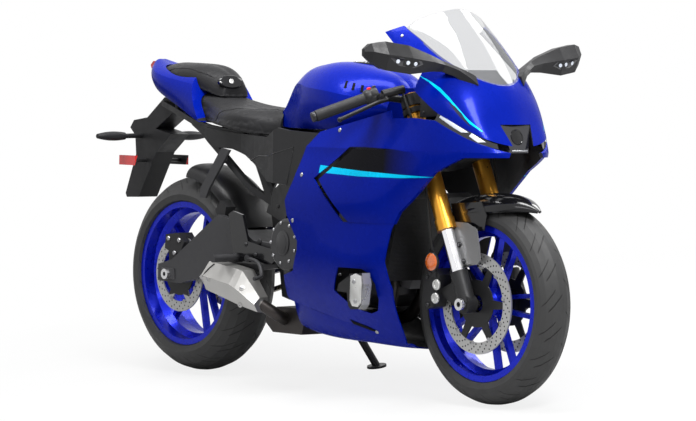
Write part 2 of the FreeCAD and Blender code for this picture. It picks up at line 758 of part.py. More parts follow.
FENDER_ARC_SHARES = [(1, 1), (0.86, 0.42), (0.5, 0.08), (0, 0), (-0.5, 0.08), (-0.86, 0.42), (-1, 1)]
FENDER_TURN_SHARES = [
    # turn from straight up as a share of a right angle, radius, half width
    (-0.42, 1.07, 0.92), (-0.20, 1.075, 1.03), (0.0, 1.08, 1.06), (0.12, 1.095, 1.0),
    (0.24, 1.12, 0.78), (0.32, 1.13, 0.46), (0.385, 1.13, 0.12),
]
fender_rows = [fender_row(t * size("right_angle"), r, w) for t, r, w in FENDER_TURN_SHARES]
fender_wires = []
for row in fender_rows:
    middle = row[3]
    out = (middle - FRONT_AXLE).normalize()
    inner = [p - (out + LEFT * share[0]) * size("panel_wall")
             for p, share in zip(row, FENDER_ARC_SHARES)]
    edges = path_edges(row) + [Part.makeLine(row[-1], inner[-1])]
    edges += path_edges(inner[::-1]) + [Part.makeLine(inner[0], row[0])]
    fender_wires.append(Part.Wire(edges))
fender = Part.makeLoft(fender_wires, True, False)
# a skirt down each side, and outside it a guard plate that lies against the front of the fork leg
FENDER_SKIRT_SHARES = [
    (0.920, 0.507), (1.015, 0.515), (1.032, 0.481), (1.024, 0.443), (0.932, 0.443)
]
fender_skirt = side_plate(FENDER_SKIRT_SHARES, size("fender_skirt_in"),
                          size("fender_skirt_in") + size("panel_wall"))
FENDER_GUARD_SHARES = [
    (0.926, 0.456), (0.943, 0.462), (0.981, 0.461), (1.012, 0.446), (1.022, 0.395),
    (1.024, 0.368), (1.015, 0.357), (0.969, 0.357), (0.953, 0.364)
]
fender_guard = side_plate(FENDER_GUARD_SHARES, size("fender_guard_in"),
                          size("fender_guard_in") + size("panel_wall"))
FENDER_LEDGE_SHARES = [(0.953, 0.445), (0.953, 0.452), (1.008, 0.452), (1.008, 0.445)]
fender_ledge = side_plate(FENDER_LEDGE_SHARES, size("fender_skirt_in"),
                          size("fender_guard_in") + size("panel_wall"))
leg_rooms = []
for across in (-size("fork_half_spacing"), size("fork_half_spacing")):
    leg_low = on_leg(up_leg("fork_outer_end"), across)
    leg_rooms.append(rod(on_leg(0, across), leg_low, size("fork_inner_radius") + size("running_gap")))
    leg_rooms.append(rod(leg_low, on_leg(up_leg("fork_top"), across),
                         size("fork_collar_radius") + size("running_gap")))
fender_sides = joined([fender_skirt, fender_guard, fender_ledge])
fender = joined([fender, fender_sides, mirrored(fender_sides)])
for leg_room in leg_rooms:
    fender = fender.cut(leg_room)
fender = largest(fender)
add("front_fender", fender)

# front calipers: radial bodies around the disc with a slot for it
CALIPER_SHARES = [
    (0.872, 0.258), (0.880, 0.320), (0.905, 0.342), (0.925, 0.326), (0.919, 0.284),
    (0.905, 0.244), (0.883, 0.237)
]
caliper_low, caliper_high = size("caliper_in"), size("caliper_out")
caliper = side_plate(CALIPER_SHARES, caliper_low, caliper_high)
caliper_slot = cylinder(FRONT_AXLE + LEFT * (size("front_disc_plane") - size("disc_slot") / 2), LEFT,
                        size("front_disc_radius") + size("running_gap") * 10, size("disc_slot"))
caliper = largest(caliper.cut(caliper_slot).cut(pieces["fork_sliders"].Shape))
add("front_calipers", both(caliper))

# brake hoses down from the master cylinders to the calipers, held all the way
HOSE_SHARES = [
    (0.819, 0.608, 0.784), (0.844, 0.633, 0.741), (0.865, 0.608, 0.687), (0.879, 0.592, 0.631),
    (0.892, 0.592, 0.570), (0.900, 0.592, 0.507), (0.905, 0.575, 0.447), (0.905, 0.533, 0.392),
    (0.905, 0.433, 0.344)
]
add("brake_hoses", both(pipe([at(s) for s in HOSE_SHARES], size("hose_radius"))
                        .cut(controls).cut(mirrored(controls)).cut(caliper)))

# main frame: head tube, two beams round the engine, pivot plates, cross tubes
head_low = on_stem(up_leg("head_low_height"))
head_reach = STEER_AXIS * up_leg("head_tube_length")
head = rod(head_low, head_low + head_reach, size("head_tube_radius"))
head = head.cut(rod(head_low - head_reach, head_low + head_reach * 2,
                    size("stem_radius") + size("running_gap")))
BEAM_SHARES = [
    (0.840, 0.629), (0.810, 0.682), (0.760, 0.687), (0.703, 0.687), (0.645, 0.670),
    (0.530, 0.615), (0.430, 0.567), (0.344, 0.515), (0.315, 0.455), (0.401, 0.430),
    (0.444, 0.498), (0.545, 0.534), (0.645, 0.588), (0.746, 0.598), (0.796, 0.603)
]
beam = side_plate(BEAM_SHARES, 0, size("beam_out"))
BEAM_PLAN_SHARES = [
    (0.853, 0.108), (0.834, 0.129), (0.797, 0.258), (0.760, 0.433), (0.703, 0.575),
    (0.616, 0.625), (0.502, 0.608), (0.430, 0.542), (0.344, 0.417), (0.301, 0.375),
    (0.301, 0.258), (0.344, 0.275), (0.430, 0.425), (0.502, 0.492), (0.616, 0.517),
    (0.703, 0.467), (0.751, 0.325), (0.796, 0.133), (0.824, 0.033), (0.853, 0.033)
]
plan = [Vector(a * size("wheelbase"), b * size("fairing_half_width"), 0) for a, b in BEAM_PLAN_SHARES]
beam = beam.common(prism(plan, Vector(0, 0, size("overall_height"))))
beam = beam.cut(rod(on_stem(0), on_stem(size("wheelbase")), size("head_tube_radius") * 0.9))
PIVOT_PLATE_SHARES = [
    (0.344, 0.507), (0.401, 0.507), (0.422, 0.412), (0.423, 0.326), (0.416, 0.249),
    (0.394, 0.225), (0.366, 0.232), (0.358, 0.292), (0.337, 0.378), (0.323, 0.464)
]
pivot_plate = side_plate(PIVOT_PLATE_SHARES, size("pivot_plate_in"), size("pivot_plate_out"))
PIVOT_SHARE = [(0.391, 0.344)][0]
pivot_reach = size("rest_in")
pivot = rod(side(PIVOT_SHARE, -pivot_reach), side(PIVOT_SHARE, pivot_reach), size("pivot_radius"))
CROSS_TUBE_SHARES = [(0.358, 0.486), (0.401, 0.244)]
cross_tubes = [rod(side(share, -size("pivot_plate_out") + size("seam")),
                   side(share, size("pivot_plate_out") - size("seam")), size("frame_tube_radius"))
               for share in CROSS_TUBE_SHARES]
# nose stay: from the head tube between the fork legs to a cross bar behind the lamp
NOSE_STAY_SHARES = [
    (0.824, 0.646), (0.819, 0.668), (0.932, 0.680), (1.004, 0.680), (1.004, 0.660),
    (0.932, 0.658)
]
nose_stay = side_plate(NOSE_STAY_SHARES, -size("nose_stay_half"), size("nose_stay_half"))
NOSE_BAR_SHARES = [(0.926, 0.658), (0.926, 0.680), (0.945, 0.680), (0.945, 0.658)]
nose_bar = side_plate(NOSE_BAR_SHARES, -size("fairing_half_width"), size("fairing_half_width"))
# side stand lug with its pin
STAND_PIVOT_SHARE = [(0.373, 0.625, 0.202)][0]
STAND_LUG_SHARE = [(0.387, 0.308, 0.259)][0]
stand_pivot = at(STAND_PIVOT_SHARE)
STAND_AXIS = Vector(size("stand_axis_along"), 1, size("stand_axis_up")).normalize()
eye_half = STAND_AXIS * size("stand_radius")
lug_face = stand_pivot - eye_half - STAND_AXIS * size("seam")
lug_disc = rod(lug_face - STAND_AXIS * size("stand_radius"), lug_face, size("stand_eye"))
lug_arm = rod(at(STAND_LUG_SHARE), lug_face - STAND_AXIS * size("stand_radius") * 0.6,
              size("stand_radius"))
lug_arm = lug_arm.cut(rod(lug_face, lug_face + eye_half * 2, size("stand_eye") * 2))
stand_pin = rod(lug_face - STAND_AXIS, stand_pivot + eye_half * 1.4, size("stand_pin"))
frame_shape = joined([head, beam, mirrored(beam), pivot_plate, mirrored(pivot_plate), pivot,
                      *cross_tubes, nose_stay, lug_arm, lug_disc, stand_pin])
frame_shape = frame_shape.cut(rod(on_stem(0), on_stem(size("wheelbase")),
                                  size("stem_radius") + size("running_gap")))
add("frame", frame_shape)

# seat rails
RAIL_TOP_SHARES = [
    (0.341, 0.486), (0.315, 0.550), (0.288, 0.615), (0.245, 0.667), (0.172, 0.677),
    (0.108, 0.685), (0.043, 0.699), (-0.043, 0.727), (-0.116, 0.747), (-0.116, 0.732),
    (-0.043, 0.711), (0.043, 0.684), (0.108, 0.669), (0.172, 0.662), (0.237, 0.649),
    (0.275, 0.603), (0.301, 0.540), (0.324, 0.481)
]
RAIL_LOW_SHARES = [
    (0.341, 0.471), (0.341, 0.491), (0.275, 0.522), (0.176, 0.603), (0.086, 0.675),
    (0.037, 0.698), (0.037, 0.684), (0.080, 0.660), (0.169, 0.589), (0.271, 0.507)
]
RAIL_PLAN_SHARES = [
    (0.351, 0.400), (0.287, 0.433), (0.244, 0.458), (0.108, 0.433), (0.043, 0.392),
    (-0.043, 0.300), (-0.122, 0.208), (-0.122, 0.133), (-0.043, 0.225), (0.043, 0.317),
    (0.108, 0.358), (0.244, 0.383), (0.287, 0.358), (0.351, 0.325)
]
rail_plan = prism([Vector(a * size("wheelbase"), b * size("fairing_half_width"), 0)
                   for a, b in RAIL_PLAN_SHARES], Vector(0, 0, size("overall_height")))
rail = joined([side_plate(RAIL_TOP_SHARES, 0, size("fairing_half_width")),
               side_plate(RAIL_LOW_SHARES, 0, size("fairing_half_width"))]).common(rail_plan)
CROSS_RAIL_SHARES = [
    (0.241, 0.400, 0.646), (0.108, 0.375, 0.670), (-0.113, 0.183, 0.733)
]
ties = []
for share in CROSS_RAIL_SHARES:
    spot = at(share)
    ties.append(Part.makeBox(size("rail_radius"), spot.y * 2, size("rail_radius"),
                             Vector(spot.x, -spot.y, spot.z)))
rails = joined([rail, mirrored(rail), *ties]).cut(frame_shape)
add("subframe", largest(rails))

# engine: crankcase, inclined cylinder block and head, gearbox
CRANKCASE_SHARES = [
    (0.510, 0.421), (0.573, 0.404), (0.667, 0.387), (0.706, 0.344), (0.706, 0.258),
    (0.674, 0.225), (0.530, 0.215), (0.510, 0.220)
]
GEARBOX_SHARES = [
    (0.434, 0.258), (0.433, 0.369), (0.459, 0.421), (0.516, 0.430), (0.530, 0.412),
    (0.530, 0.216), (0.459, 0.220)
]
CYLINDER_SHARES = [
    (0.552, 0.378), (0.595, 0.533), (0.631, 0.570), (0.724, 0.557), (0.740, 0.507),
    (0.695, 0.344)
]
crankcase = side_plate(CRANKCASE_SHARES, -size("crankcase_half"), size("crankcase_half"))
gearbox = side_plate(GEARBOX_SHARES, -size("crankcase_half"), size("gearbox_half"))
block = side_plate(CYLINDER_SHARES, -size("cylinder_half"), size("cylinder_half"))
engine = joined([crankcase, gearbox, block])
add("engine_block", engine)
CLUTCH_CENTRE_SHARE = [(0.480, 0.379)][0]
GENERATOR_CENTRE_SHARE = [(0.609, 0.284)][0]
clutch = cylinder(side(CLUTCH_CENTRE_SHARE, -size("clutch_reach")), LEFT, size("clutch_radius"),
                  size("clutch_reach") - size("crankcase_half"))
clutch = rounded(clutch, size("cover_rounding"), lambda e: e.BoundBox.YMax < -size("clutch_reach") * 0.99)
CLUTCH_SIDE_SHARES = [
    (0.437, 0.284), (0.436, 0.369), (0.466, 0.418), (0.559, 0.402), (0.657, 0.383),
    (0.661, 0.275), (0.616, 0.229), (0.487, 0.232)
]
clutch_side = side_plate(CLUTCH_SIDE_SHARES, -size("crankcase_half") - size("cover_depth"),
                         -size("crankcase_half"))
generator = cylinder(side(GENERATOR_CENTRE_SHARE, size("crankcase_half")), LEFT,
                     size("generator_radius"), size("cover_depth"))
generator = rounded(generator, size("cover_rounding"),
                    lambda e: e.BoundBox.YMin > size("crankcase_half") + size("cover_depth") * 0.9)
add("engine_covers", Part.makeCompound([joined([clutch, clutch_side]), generator]))

# radiator and its hoses
RADIATOR_SHARES = [(0.750, 0.306), (0.774, 0.301), (0.819, 0.515), (0.796, 0.526)]
radiator = side_plate(RADIATOR_SHARES, -size("radiator_half"), size("radiator_half"))
RADIATOR_STAY_SHARES = [(0.717, 0.514), (0.717, 0.527), (0.801, 0.521), (0.801, 0.509)]
stay_low, stay_high = size("radiator_half") * 0.4, size("radiator_half") * 0.5
radiator_stay = side_plate(RADIATOR_STAY_SHARES, stay_low, stay_high)
radiator = joined([radiator, radiator_stay, mirrored(radiator_stay)]).cut(engine)
radiator = largest(radiator)
add("radiator", radiator)

# coolant bottle in front of the crankcase, between the header pipes and behind the radiator
BOTTLE_SHARES = [
    (0.706, 0.284), (0.706, 0.344), (0.717, 0.357), (0.767, 0.364), (0.771, 0.306),
    (0.758, 0.277)
]
bottle = side_plate(BOTTLE_SHARES, -size("bottle_half"), size("bottle_half"))
add("coolant_bottle", largest(bottle.cut(engine).cut(radiator)))

# exhaust: four headers into a collector box, and the silencer on the right
HEADER_SHARES = [
    (0.724, 0.250, 0.493), (0.746, 0.250, 0.447), (0.731, 0.250, 0.344), (0.728, 0.250, 0.258),
    (0.688, 0.225, 0.194), (0.573, 0.183, 0.187)
]
header = pipe([at(s) for s in HEADER_SHARES], size("header_radius"))
CHAMBER_SHARES = [
    (0.588, 0.172), (0.502, 0.168), (0.467, 0.168), (0.459, 0.137), (0.358, 0.137),
    (0.331, 0.163), (0.337, 0.191), (0.373, 0.206), (0.588, 0.206)
]
chamber = side_plate(CHAMBER_SHARES, -size("chamber_half"), size("chamber_half"))
exhaust = largest(joined([header, mirrored(header), chamber]).cut(engine).cut(frame_shape))
add("exhaust_headers", exhaust)
# five-sided sections from the end cap forward: inner top, outer top, ridge, outer foot, inner foot
MUFFLER_ROWS_SHARES = [
    [(0.195, -0.692, 0.297), (0.195, -0.850, 0.294), (0.195, -0.942, 0.277),
     (0.195, -0.867, 0.258), (0.195, -0.692, 0.255)],
    [(0.215, -0.675, 0.323), (0.215, -0.867, 0.320), (0.215, -1.000, 0.284),
     (0.215, -0.917, 0.244), (0.215, -0.675, 0.241)],
    [(0.315, -0.675, 0.308), (0.315, -0.867, 0.306), (0.315, -1.000, 0.265),
     (0.315, -0.917, 0.216), (0.315, -0.675, 0.212)],
    [(0.334, -0.675, 0.304), (0.334, -0.863, 0.301), (0.334, -0.992, 0.256),
     (0.334, -0.912, 0.210), (0.334, -0.675, 0.205)],
    [(0.388, -0.692, 0.235), (0.388, -0.825, 0.233), (0.388, -0.917, 0.216),
     (0.388, -0.858, 0.195), (0.388, -0.692, 0.192)]
]
muffler = ruled(MUFFLER_ROWS_SHARES)
LINK_PIPE_SHARES = [
    (0.387, -0.333, 0.168), (0.410, -0.583, 0.182), (0.380, -0.767, 0.215)
]
link_pipe = pipe([at(s) for s in LINK_PIPE_SHARES], size("header_radius"))
add("muffler", largest(joined([muffler, link_pipe]).cut(exhaust)))

# swingarm: right leg as photographed, left leg, cross member, axle blocks
SWINGARM_SHARES = [
    (-0.037, 0.251), (-0.037, 0.296), (0.014, 0.311), (0.143, 0.411), (0.185, 0.443),
    (0.237, 0.430), (0.315, 0.380), (0.380, 0.375), (0.409, 0.344), (0.401, 0.311),
    (0.344, 0.302), (0.215, 0.292), (0.043, 0.247)
]
leg = side_plate(SWINGARM_SHARES, size("swingarm_plane") - size("swingarm_wall") / 2,
                 size("swingarm_plane") + size("swingarm_wall") / 2)
ARM_CROSS_SHARES = [(0.241, 0.311), (0.251, 0.404), (0.308, 0.369), (0.323, 0.320)]
ARM_LOW_SHARES = [(0.241, 0.306), (0.242, 0.364), (0.315, 0.364), (0.323, 0.320)]
cross = side_plate(ARM_CROSS_SHARES, -size("swingarm_plane"), size("chain_plane") - size("chain_width"))
cross_low = side_plate(ARM_LOW_SHARES, 0, size("swingarm_plane"))
axle_hole = cylinder(REAR_AXLE - LEFT * size("wheelbase"), LEFT, size("rear_axle_radius"),
                     size("wheelbase") * 2)
add("swingarm", joined([leg, mirrored(leg), cross, cross_low]).cut(axle_hole).cut(pivot))
SHOCK_SHARES = [(0.358, 0.000, 0.491), (0.324, 0.000, 0.430), (0.284, 0.000, 0.361)]
shock_top, shock_mid, shock_low = [at(s) for s in SHOCK_SHARES]
shock = joined([rod(shock_top, shock_mid, size("shock_radius")),
                rod(shock_mid, shock_low, size("shock_radius") * 0.5)])
add("rear_shock", largest(shock.cut(frame_shape).cut(pieces["swingarm"].Shape)))

# rear caliper on its bracket over the disc
REAR_CALIPER_SHARES = [
    (-0.030, 0.340), (-0.027, 0.378), (0.022, 0.385), (0.042, 0.359), (0.029, 0.332),
    (0.000, 0.326)
]
rear_caliper = side_plate(REAR_CALIPER_SHARES, -size("rear_disc_plane") - size("rear_caliper_out"),
                          -size("rear_disc_plane") + size("rear_caliper_in"))
rear_caliper = rear_caliper.cut(cylinder(
    REAR_AXLE - LEFT * (size("rear_disc_plane") + size("disc_slot") / 2), LEFT,
    size("rear_disc_radius") + size("running_gap") * 10, size("disc_slot")))
CALIPER_STAY_SHARES = [(-0.014, 0.277), (-0.022, 0.344), (0.029, 0.344), (0.017, 0.277)]
stay = side_plate(CALIPER_STAY_SHARES, -size("swingarm_plane") + size("swingarm_wall") / 2,
                  -size("rear_disc_plane") - size("disc_slot"))
stay = stay.cut(axle_hole)
add("rear_caliper", joined([rear_caliper, stay]))

# drive chain: one loop round both sprockets
FRONT_SPROCKET_SHARE = [(0.439, 0.356)][0]
sprocket_spot = side(FRONT_SPROCKET_SHARE)


def chain_loop(grow):
    """Area inside the chain line, grown by the given amount, in the side view."""
    rear_pitch = size("rear_teeth") * size("chain_pitch") / (2 * math.pi) + grow
    front_pitch = size("front_teeth") * size("chain_pitch") / (2 * math.pi) + grow
    gap = sprocket_spot - REAR_AXLE
    slope = math.atan2(gap.z, gap.x)
    spread = math.acos((rear_pitch - front_pitch) / gap.Length)
    points = []
    steps = int(size("chain_arc_steps"))
    for i in range(steps + 1):
        turn = slope + spread + (2 * math.pi - 2 * spread) * i / steps
        points.append(REAR_AXLE + Vector(math.cos(turn), 0, math.sin(turn)) * rear_pitch)
    for i in range(steps // 2 + 1):
        turn = slope - spread + 2 * spread * i / (steps // 2)
        points.append(sprocket_spot + Vector(math.cos(turn), 0, math.sin(turn)) * front_pitch)
    low = Vector(0, size("chain_plane") - size("chain_width") / 2, 0)
    return [p + low for p in points]


chain = prism(chain_loop(size("chain_height") / 2), LEFT * size("chain_width")).cut(
    prism([p - LEFT * size("seam") for p in chain_loop(-size("chain_height") / 2)],
          LEFT * (size("chain_width") + size("seam") * 2)))
add("drive_chain", chain)
front_sprocket = cylinder(sprocket_spot + LEFT * (size("chain_plane") - size("sprocket_thickness")),
                          LEFT, size("front_teeth") * size("chain_pitch") / (2 * math.pi)
                          - size("chain_height") / 2, size("sprocket_thickness") * 2).cut(chain)
shaft = rod(sprocket_spot + LEFT * size("gearbox_half"), sprocket_spot + LEFT * size("chain_plane"),
            size("shaft_radius"))
add("front_sprocket", joined([front_sprocket, shaft]))

# side fairings: one skin through level rows, from the nose back to the engine
FAIRING_ROWS_SHARES = [
    [(1.039, 0.292, 0.756), (1.022, 0.562, 0.756), (0.964, 0.792, 0.756), (0.896, 0.833, 0.756),
     (0.824, 0.792, 0.756), (0.753, 0.775, 0.756), (0.645, 0.758, 0.756), (0.538, 0.742, 0.756),
     (0.430, 0.717, 0.756)],
    [(1.061, 0.258, 0.700), (1.049, 0.521, 0.700), (1.002, 0.742, 0.700), (0.896, 0.846, 0.700),
     (0.824, 0.825, 0.700), (0.753, 0.812, 0.700), (0.645, 0.800, 0.700), (0.538, 0.792, 0.700),
     (0.430, 0.767, 0.700)],
    [(1.095, 0.258, 0.640), (1.075, 0.467, 0.640), (1.022, 0.704, 0.640), (0.896, 0.867, 0.640),
     (0.824, 0.900, 0.640), (0.753, 0.912, 0.640), (0.645, 0.896, 0.640), (0.538, 0.883, 0.640),
     (0.430, 0.854, 0.640)],
    [(1.082, 0.333, 0.593), (1.050, 0.533, 0.593), (0.996, 0.725, 0.593), (0.896, 0.854, 0.593),
     (0.824, 0.912, 0.593), (0.753, 0.942, 0.593), (0.645, 0.942, 0.593), (0.538, 0.925, 0.593),
     (0.430, 0.883, 0.593)],
    [(1.032, 0.375, 0.527), (1.004, 0.521, 0.527), (0.961, 0.667, 0.527), (0.896, 0.800, 0.527),
     (0.824, 0.917, 0.527), (0.753, 0.979, 0.527), (0.645, 1.000, 0.527), (0.538, 0.983, 0.527),
     (0.430, 0.925, 0.527)],
    [(1.004, 0.333, 0.447), (0.975, 0.458, 0.447), (0.939, 0.583, 0.447), (0.889, 0.742, 0.447),
     (0.824, 0.883, 0.447), (0.753, 0.958, 0.447), (0.645, 0.992, 0.447), (0.538, 0.979, 0.447),
     (0.430, 0.917, 0.447)],
    [(0.989, 0.292, 0.357), (0.961, 0.417, 0.357), (0.932, 0.542, 0.357), (0.889, 0.700, 0.357),
     (0.824, 0.846, 0.357), (0.753, 0.933, 0.357), (0.645, 0.967, 0.357), (0.538, 0.950, 0.357),
     (0.430, 0.892, 0.357)],
    [(0.989, 0.208, 0.284), (0.961, 0.333, 0.284), (0.932, 0.450, 0.284), (0.889, 0.617, 0.284),
     (0.824, 0.762, 0.284), (0.753, 0.854, 0.284), (0.645, 0.883, 0.284), (0.538, 0.867, 0.284),
     (0.430, 0.792, 0.284)],
    [(0.989, 0.083, 0.215), (0.961, 0.188, 0.215), (0.932, 0.292, 0.215), (0.889, 0.433, 0.215),
     (0.824, 0.579, 0.215), (0.753, 0.667, 0.215), (0.645, 0.708, 0.215), (0.538, 0.688, 0.215),
     (0.430, 0.625, 0.215)],
    [(0.989, 0.042, 0.172), (0.961, 0.117, 0.172), (0.932, 0.192, 0.172), (0.889, 0.308, 0.172),
     (0.824, 0.433, 0.172), (0.753, 0.525, 0.172), (0.645, 0.571, 0.172), (0.538, 0.562, 0.172),
     (0.430, 0.508, 0.172)],
    [(0.989, 0.021, 0.125), (0.961, 0.058, 0.125), (0.932, 0.117, 0.125), (0.889, 0.208, 0.125),
     (0.824, 0.304, 0.125), (0.753, 0.375, 0.125), (0.645, 0.429, 0.125), (0.538, 0.429, 0.125),
     (0.430, 0.400, 0.125)]
]
FAIRING_UPPER_SHARES = [
    (0.557, 0.640), (0.591, 0.680), (0.819, 0.740), (0.826, 0.720), (0.901, 0.723),
    (0.961, 0.718), (1.031, 0.675), (1.087, 0.643), (1.104, 0.634), (1.100, 0.628),
    (1.025, 0.626), (0.961, 0.588), (0.908, 0.532), (0.860, 0.484), (0.836, 0.438),
    (0.824, 0.393), (0.546, 0.393), (0.510, 0.460), (0.503, 0.498), (0.530, 0.550)
]
FAIRING_LOWER_SHARES = [
    (0.546, 0.393), (0.824, 0.393), (0.815, 0.355), (0.823, 0.284), (0.807, 0.205),
    (0.796, 0.139), (0.692, 0.175), (0.470, 0.233), (0.466, 0.245), (0.481, 0.301),
    (0.486, 0.302), (0.520, 0.314), (0.543, 0.369)
]
SIDE_HOLE_SHARES = [
    (0.681, 0.334), (0.754, 0.334), (0.773, 0.322), (0.784, 0.295), (0.780, 0.255),
    (0.764, 0.225), (0.741, 0.216), (0.697, 0.229), (0.650, 0.272)
]
# the front panel stands proud behind a channel: rows and stations it rises over, and its outline
CHANNEL_SHARES = [
    (0.706, 0.643), (0.602, 0.560), (0.701, 0.452), (0.720, 0.452), (0.625, 0.558),
    (0.728, 0.643)
]
WING_SHARES = [
    (0.706, 0.641), (0.602, 0.560), (0.701, 0.452), (1.075, 0.452), (1.118, 0.641)
]
WING_ROW_RISE_SHARES = [1, 1, 1, 0]
WING_STATION_RISE_SHARES = [0, 0, 0.2, 0.8, 1, 1, 1, 1, 1]
CREASE_ROW = 2


def fairing_loft(rows, wall):
    wires = []
    for row in rows:
        points = [at(s) for s in row]
        inner = inset(points, wall, Vector(0, 0, 1), Vector(0, 0, points[0].z))
        edges = path_edges(points) + [Part.makeLine(points[-1], inner[-1])]
        edges += path_edges(inner[::-1]) + [Part.makeLine(inner[0], points[0])]
        wires.append(Part.Wire(edges))
    return Part.makeLoft(wires, True, False)


def fairing_room(rows):
    """The solid room between the two inner faces of the side fairings."""
    wires = []
    for row in rows:
        points = [at(s) for s in row]
        inner = inset(points, size("panel_wall"), Vector(0, 0, 1), Vector(0, 0, points[0].z))
        other = [Vector(p.x, -p.y, p.z) for p in inner[::-1]]
        edges = path_edges(inner) + [Part.makeLine(inner[-1], other[0])]
        edges += path_edges(other) + [Part.makeLine(other[-1], inner[0])]
        wires.append(Part.Wire(edges))
    return Part.makeLoft(wires, True, False)


def side_prism(shares, low=0.0, high=None):
    """The room inside an outline of the side view, from Y = low outwards."""
    return side_plate(shares, low, size("wheelbase") if high is None else high)


fairing_above = fairing_loft(FAIRING_ROWS_SHARES[:CREASE_ROW + 1], size("panel_wall"))
fairing_below = fairing_loft(FAIRING_ROWS_SHARES[CREASE_ROW:], size("panel_wall"))
upper_room = side_prism(FAIRING_UPPER_SHARES)
raised = []
for row, row_rise in zip(FAIRING_ROWS_SHARES[CREASE_ROW:CREASE_ROW + 4], WING_ROW_RISE_SHARES):
    raised.append([(s[0], s[1] + row_rise * rise * size("wing_rise") / size("fairing_half_width"), s[2])
                   for s, rise in zip(row, WING_STATION_RISE_SHARES)])
wing_room = side_prism(WING_SHARES)
wing = fairing_loft(raised, size("panel_wall") + size("wing_rise")).common(wing_room).common(upper_room)
fairing_upper = fairing_above.common(upper_room).fuse(fairing_below.common(upper_room).cut(wing_room))
fairing_upper = fairing_upper.fuse(wing).cut(side_prism(CHANNEL_SHARES)).removeSplitter()
fairing_lower = fairing_below.common(side_prism(FAIRING_LOWER_SHARES)).cut(
    side_prism(SIDE_HOLE_SHARES))
add("fairing_upper_left", fairing_upper)
add("fairing_upper_right", mirrored(fairing_upper))
add("fairing_lower_left", fairing_lower)
add("fairing_lower_right", mirrored(fairing_lower))

# stays that carry the fairings: the nose bar and short arms on each side, trimmed to the panels
room_above = fairing_room(FAIRING_ROWS_SHARES[:CREASE_ROW + 1])
room_below = fairing_room(FAIRING_ROWS_SHARES[CREASE_ROW:])
nose_bar = nose_bar.common(room_above)
UPPER_ARM_SHARE = [(0.616, 0.624)][0]
LOWER_ARM_SHARE = [(0.573, 0.344)][0]
upper_arm = rod(side(UPPER_ARM_SHARE, size("beam_out") * 0.75), side(UPPER_ARM_SHARE, size("wheelbase")),
                size("stay_radius")).common(room_below)
frame_shape = joined([frame_shape, nose_bar, upper_arm, mirrored(upper_arm)])
pieces["frame"].Shape = frame_shape
lower_arm = rod(side(LOWER_ARM_SHARE, size("crankcase_half") * 0.9),
                side(LOWER_ARM_SHARE, size("wheelbase")), size("stay_radius")).common(room_below)
lower_arm = lower_arm.cut(pieces["engine_covers"].Shape)
engine = joined([engine, lower_arm, largest(mirrored(lower_arm).cut(pieces["engine_covers"].Shape))])
pieces["engine_block"].Shape = largest(engine)

# belly pan between the two lower fairings
BELLY_ROWS_SHARES = [
    [(0.466, 0.625, 0.233), (0.466, 0.558, 0.191), (0.466, 0.467, 0.163), (0.466, 0.250, 0.158),
     (0.466, 0.000, 0.157)],
    [(0.573, 0.667, 0.205), (0.573, 0.567, 0.168), (0.573, 0.425, 0.141), (0.573, 0.229, 0.135),
     (0.573, 0.000, 0.133)],
    [(0.688, 0.542, 0.175), (0.688, 0.467, 0.151), (0.688, 0.383, 0.136), (0.688, 0.208, 0.131),
     (0.688, 0.000, 0.129)],
    [(0.760, 0.417, 0.153), (0.760, 0.375, 0.141), (0.760, 0.317, 0.131), (0.760, 0.167, 0.128),
     (0.760, 0.000, 0.126)],
    [(0.809, 0.308, 0.135), (0.809, 0.275, 0.131), (0.809, 0.233, 0.129), (0.809, 0.125, 0.126),
     (0.809, 0.000, 0.125)]
]


def crossing_loft(rows, wall):
    """A thin skin across the machine: half rows from the side to the centre, completed by mirroring."""
    wires = []
    for row in rows:
        half = [at(s) for s in row]
        points = half + [Vector(p.x, -p.y, p.z) for p in half[-2::-1]]
        top = Vector(points[0].x, 0, points[0].z + size("overall_height"))
        if points[0].z > points[len(half) - 1].z:
            behind = top
        else:
            behind = Vector(points[0].x, 0, 0)
        inner = inset(points, wall, Vector(1, 0, 0), behind)
        edges = path_edges(points) + [Part.makeLine(points[-1], inner[-1])]
        edges += path_edges(inner[::-1]) + [Part.makeLine(inner[0], points[0])]
        wires.append(Part.Wire(edges))
    return Part.makeLoft(wires, True, False)


belly = crossing_loft(BELLY_ROWS_SHARES, size("panel_wall"))
for part in (fairing_lower, mirrored(fairing_lower)):
    belly = belly.cut(part)
belly = largest(belly.cut(exhaust))
add("belly_pan", belly)

# nose: upper cowl and windscreen from one set of level rows, split along the screen's lower edge
NOSE_ROWS_SHARES = [
    [(0.896, 0.854, 0.631), (1.024, 0.692, 0.631), (1.075, 0.438, 0.631), (1.092, 0.217, 0.631),
     (1.082, 0.000, 0.631)],
    [(0.896, 0.858, 0.704), (1.004, 0.717, 0.704), (1.048, 0.521, 0.704), (1.061, 0.258, 0.704),
     (1.068, 0.000, 0.704)],
    [(0.889, 0.892, 0.756), (0.964, 0.804, 0.756), (1.022, 0.562, 0.756), (1.041, 0.292, 0.756),
     (1.049, 0.000, 0.756)],
    [(0.878, 0.892, 0.803), (0.946, 0.783, 0.803), (0.993, 0.583, 0.803), (1.019, 0.300, 0.803),
     (1.028, 0.000, 0.803)],
    [(0.846, 0.867, 0.859), (0.910, 0.742, 0.859), (0.956, 0.542, 0.859), (0.982, 0.292, 0.859),
     (0.991, 0.000, 0.859)],
    [(0.803, 0.833, 0.911), (0.871, 0.708, 0.911), (0.915, 0.521, 0.911), (0.942, 0.292, 0.911),
     (0.951, 0.000, 0.911)],
    [(0.760, 0.792, 0.954), (0.833, 0.675, 0.954), (0.877, 0.500, 0.954), (0.904, 0.283, 0.954),
     (0.914, 0.000, 0.954)],
    [(0.724, 0.733, 1.000), (0.794, 0.633, 1.000), (0.837, 0.467, 1.000), (0.865, 0.258, 1.000),
     (0.875, 0.000, 1.000)]
]
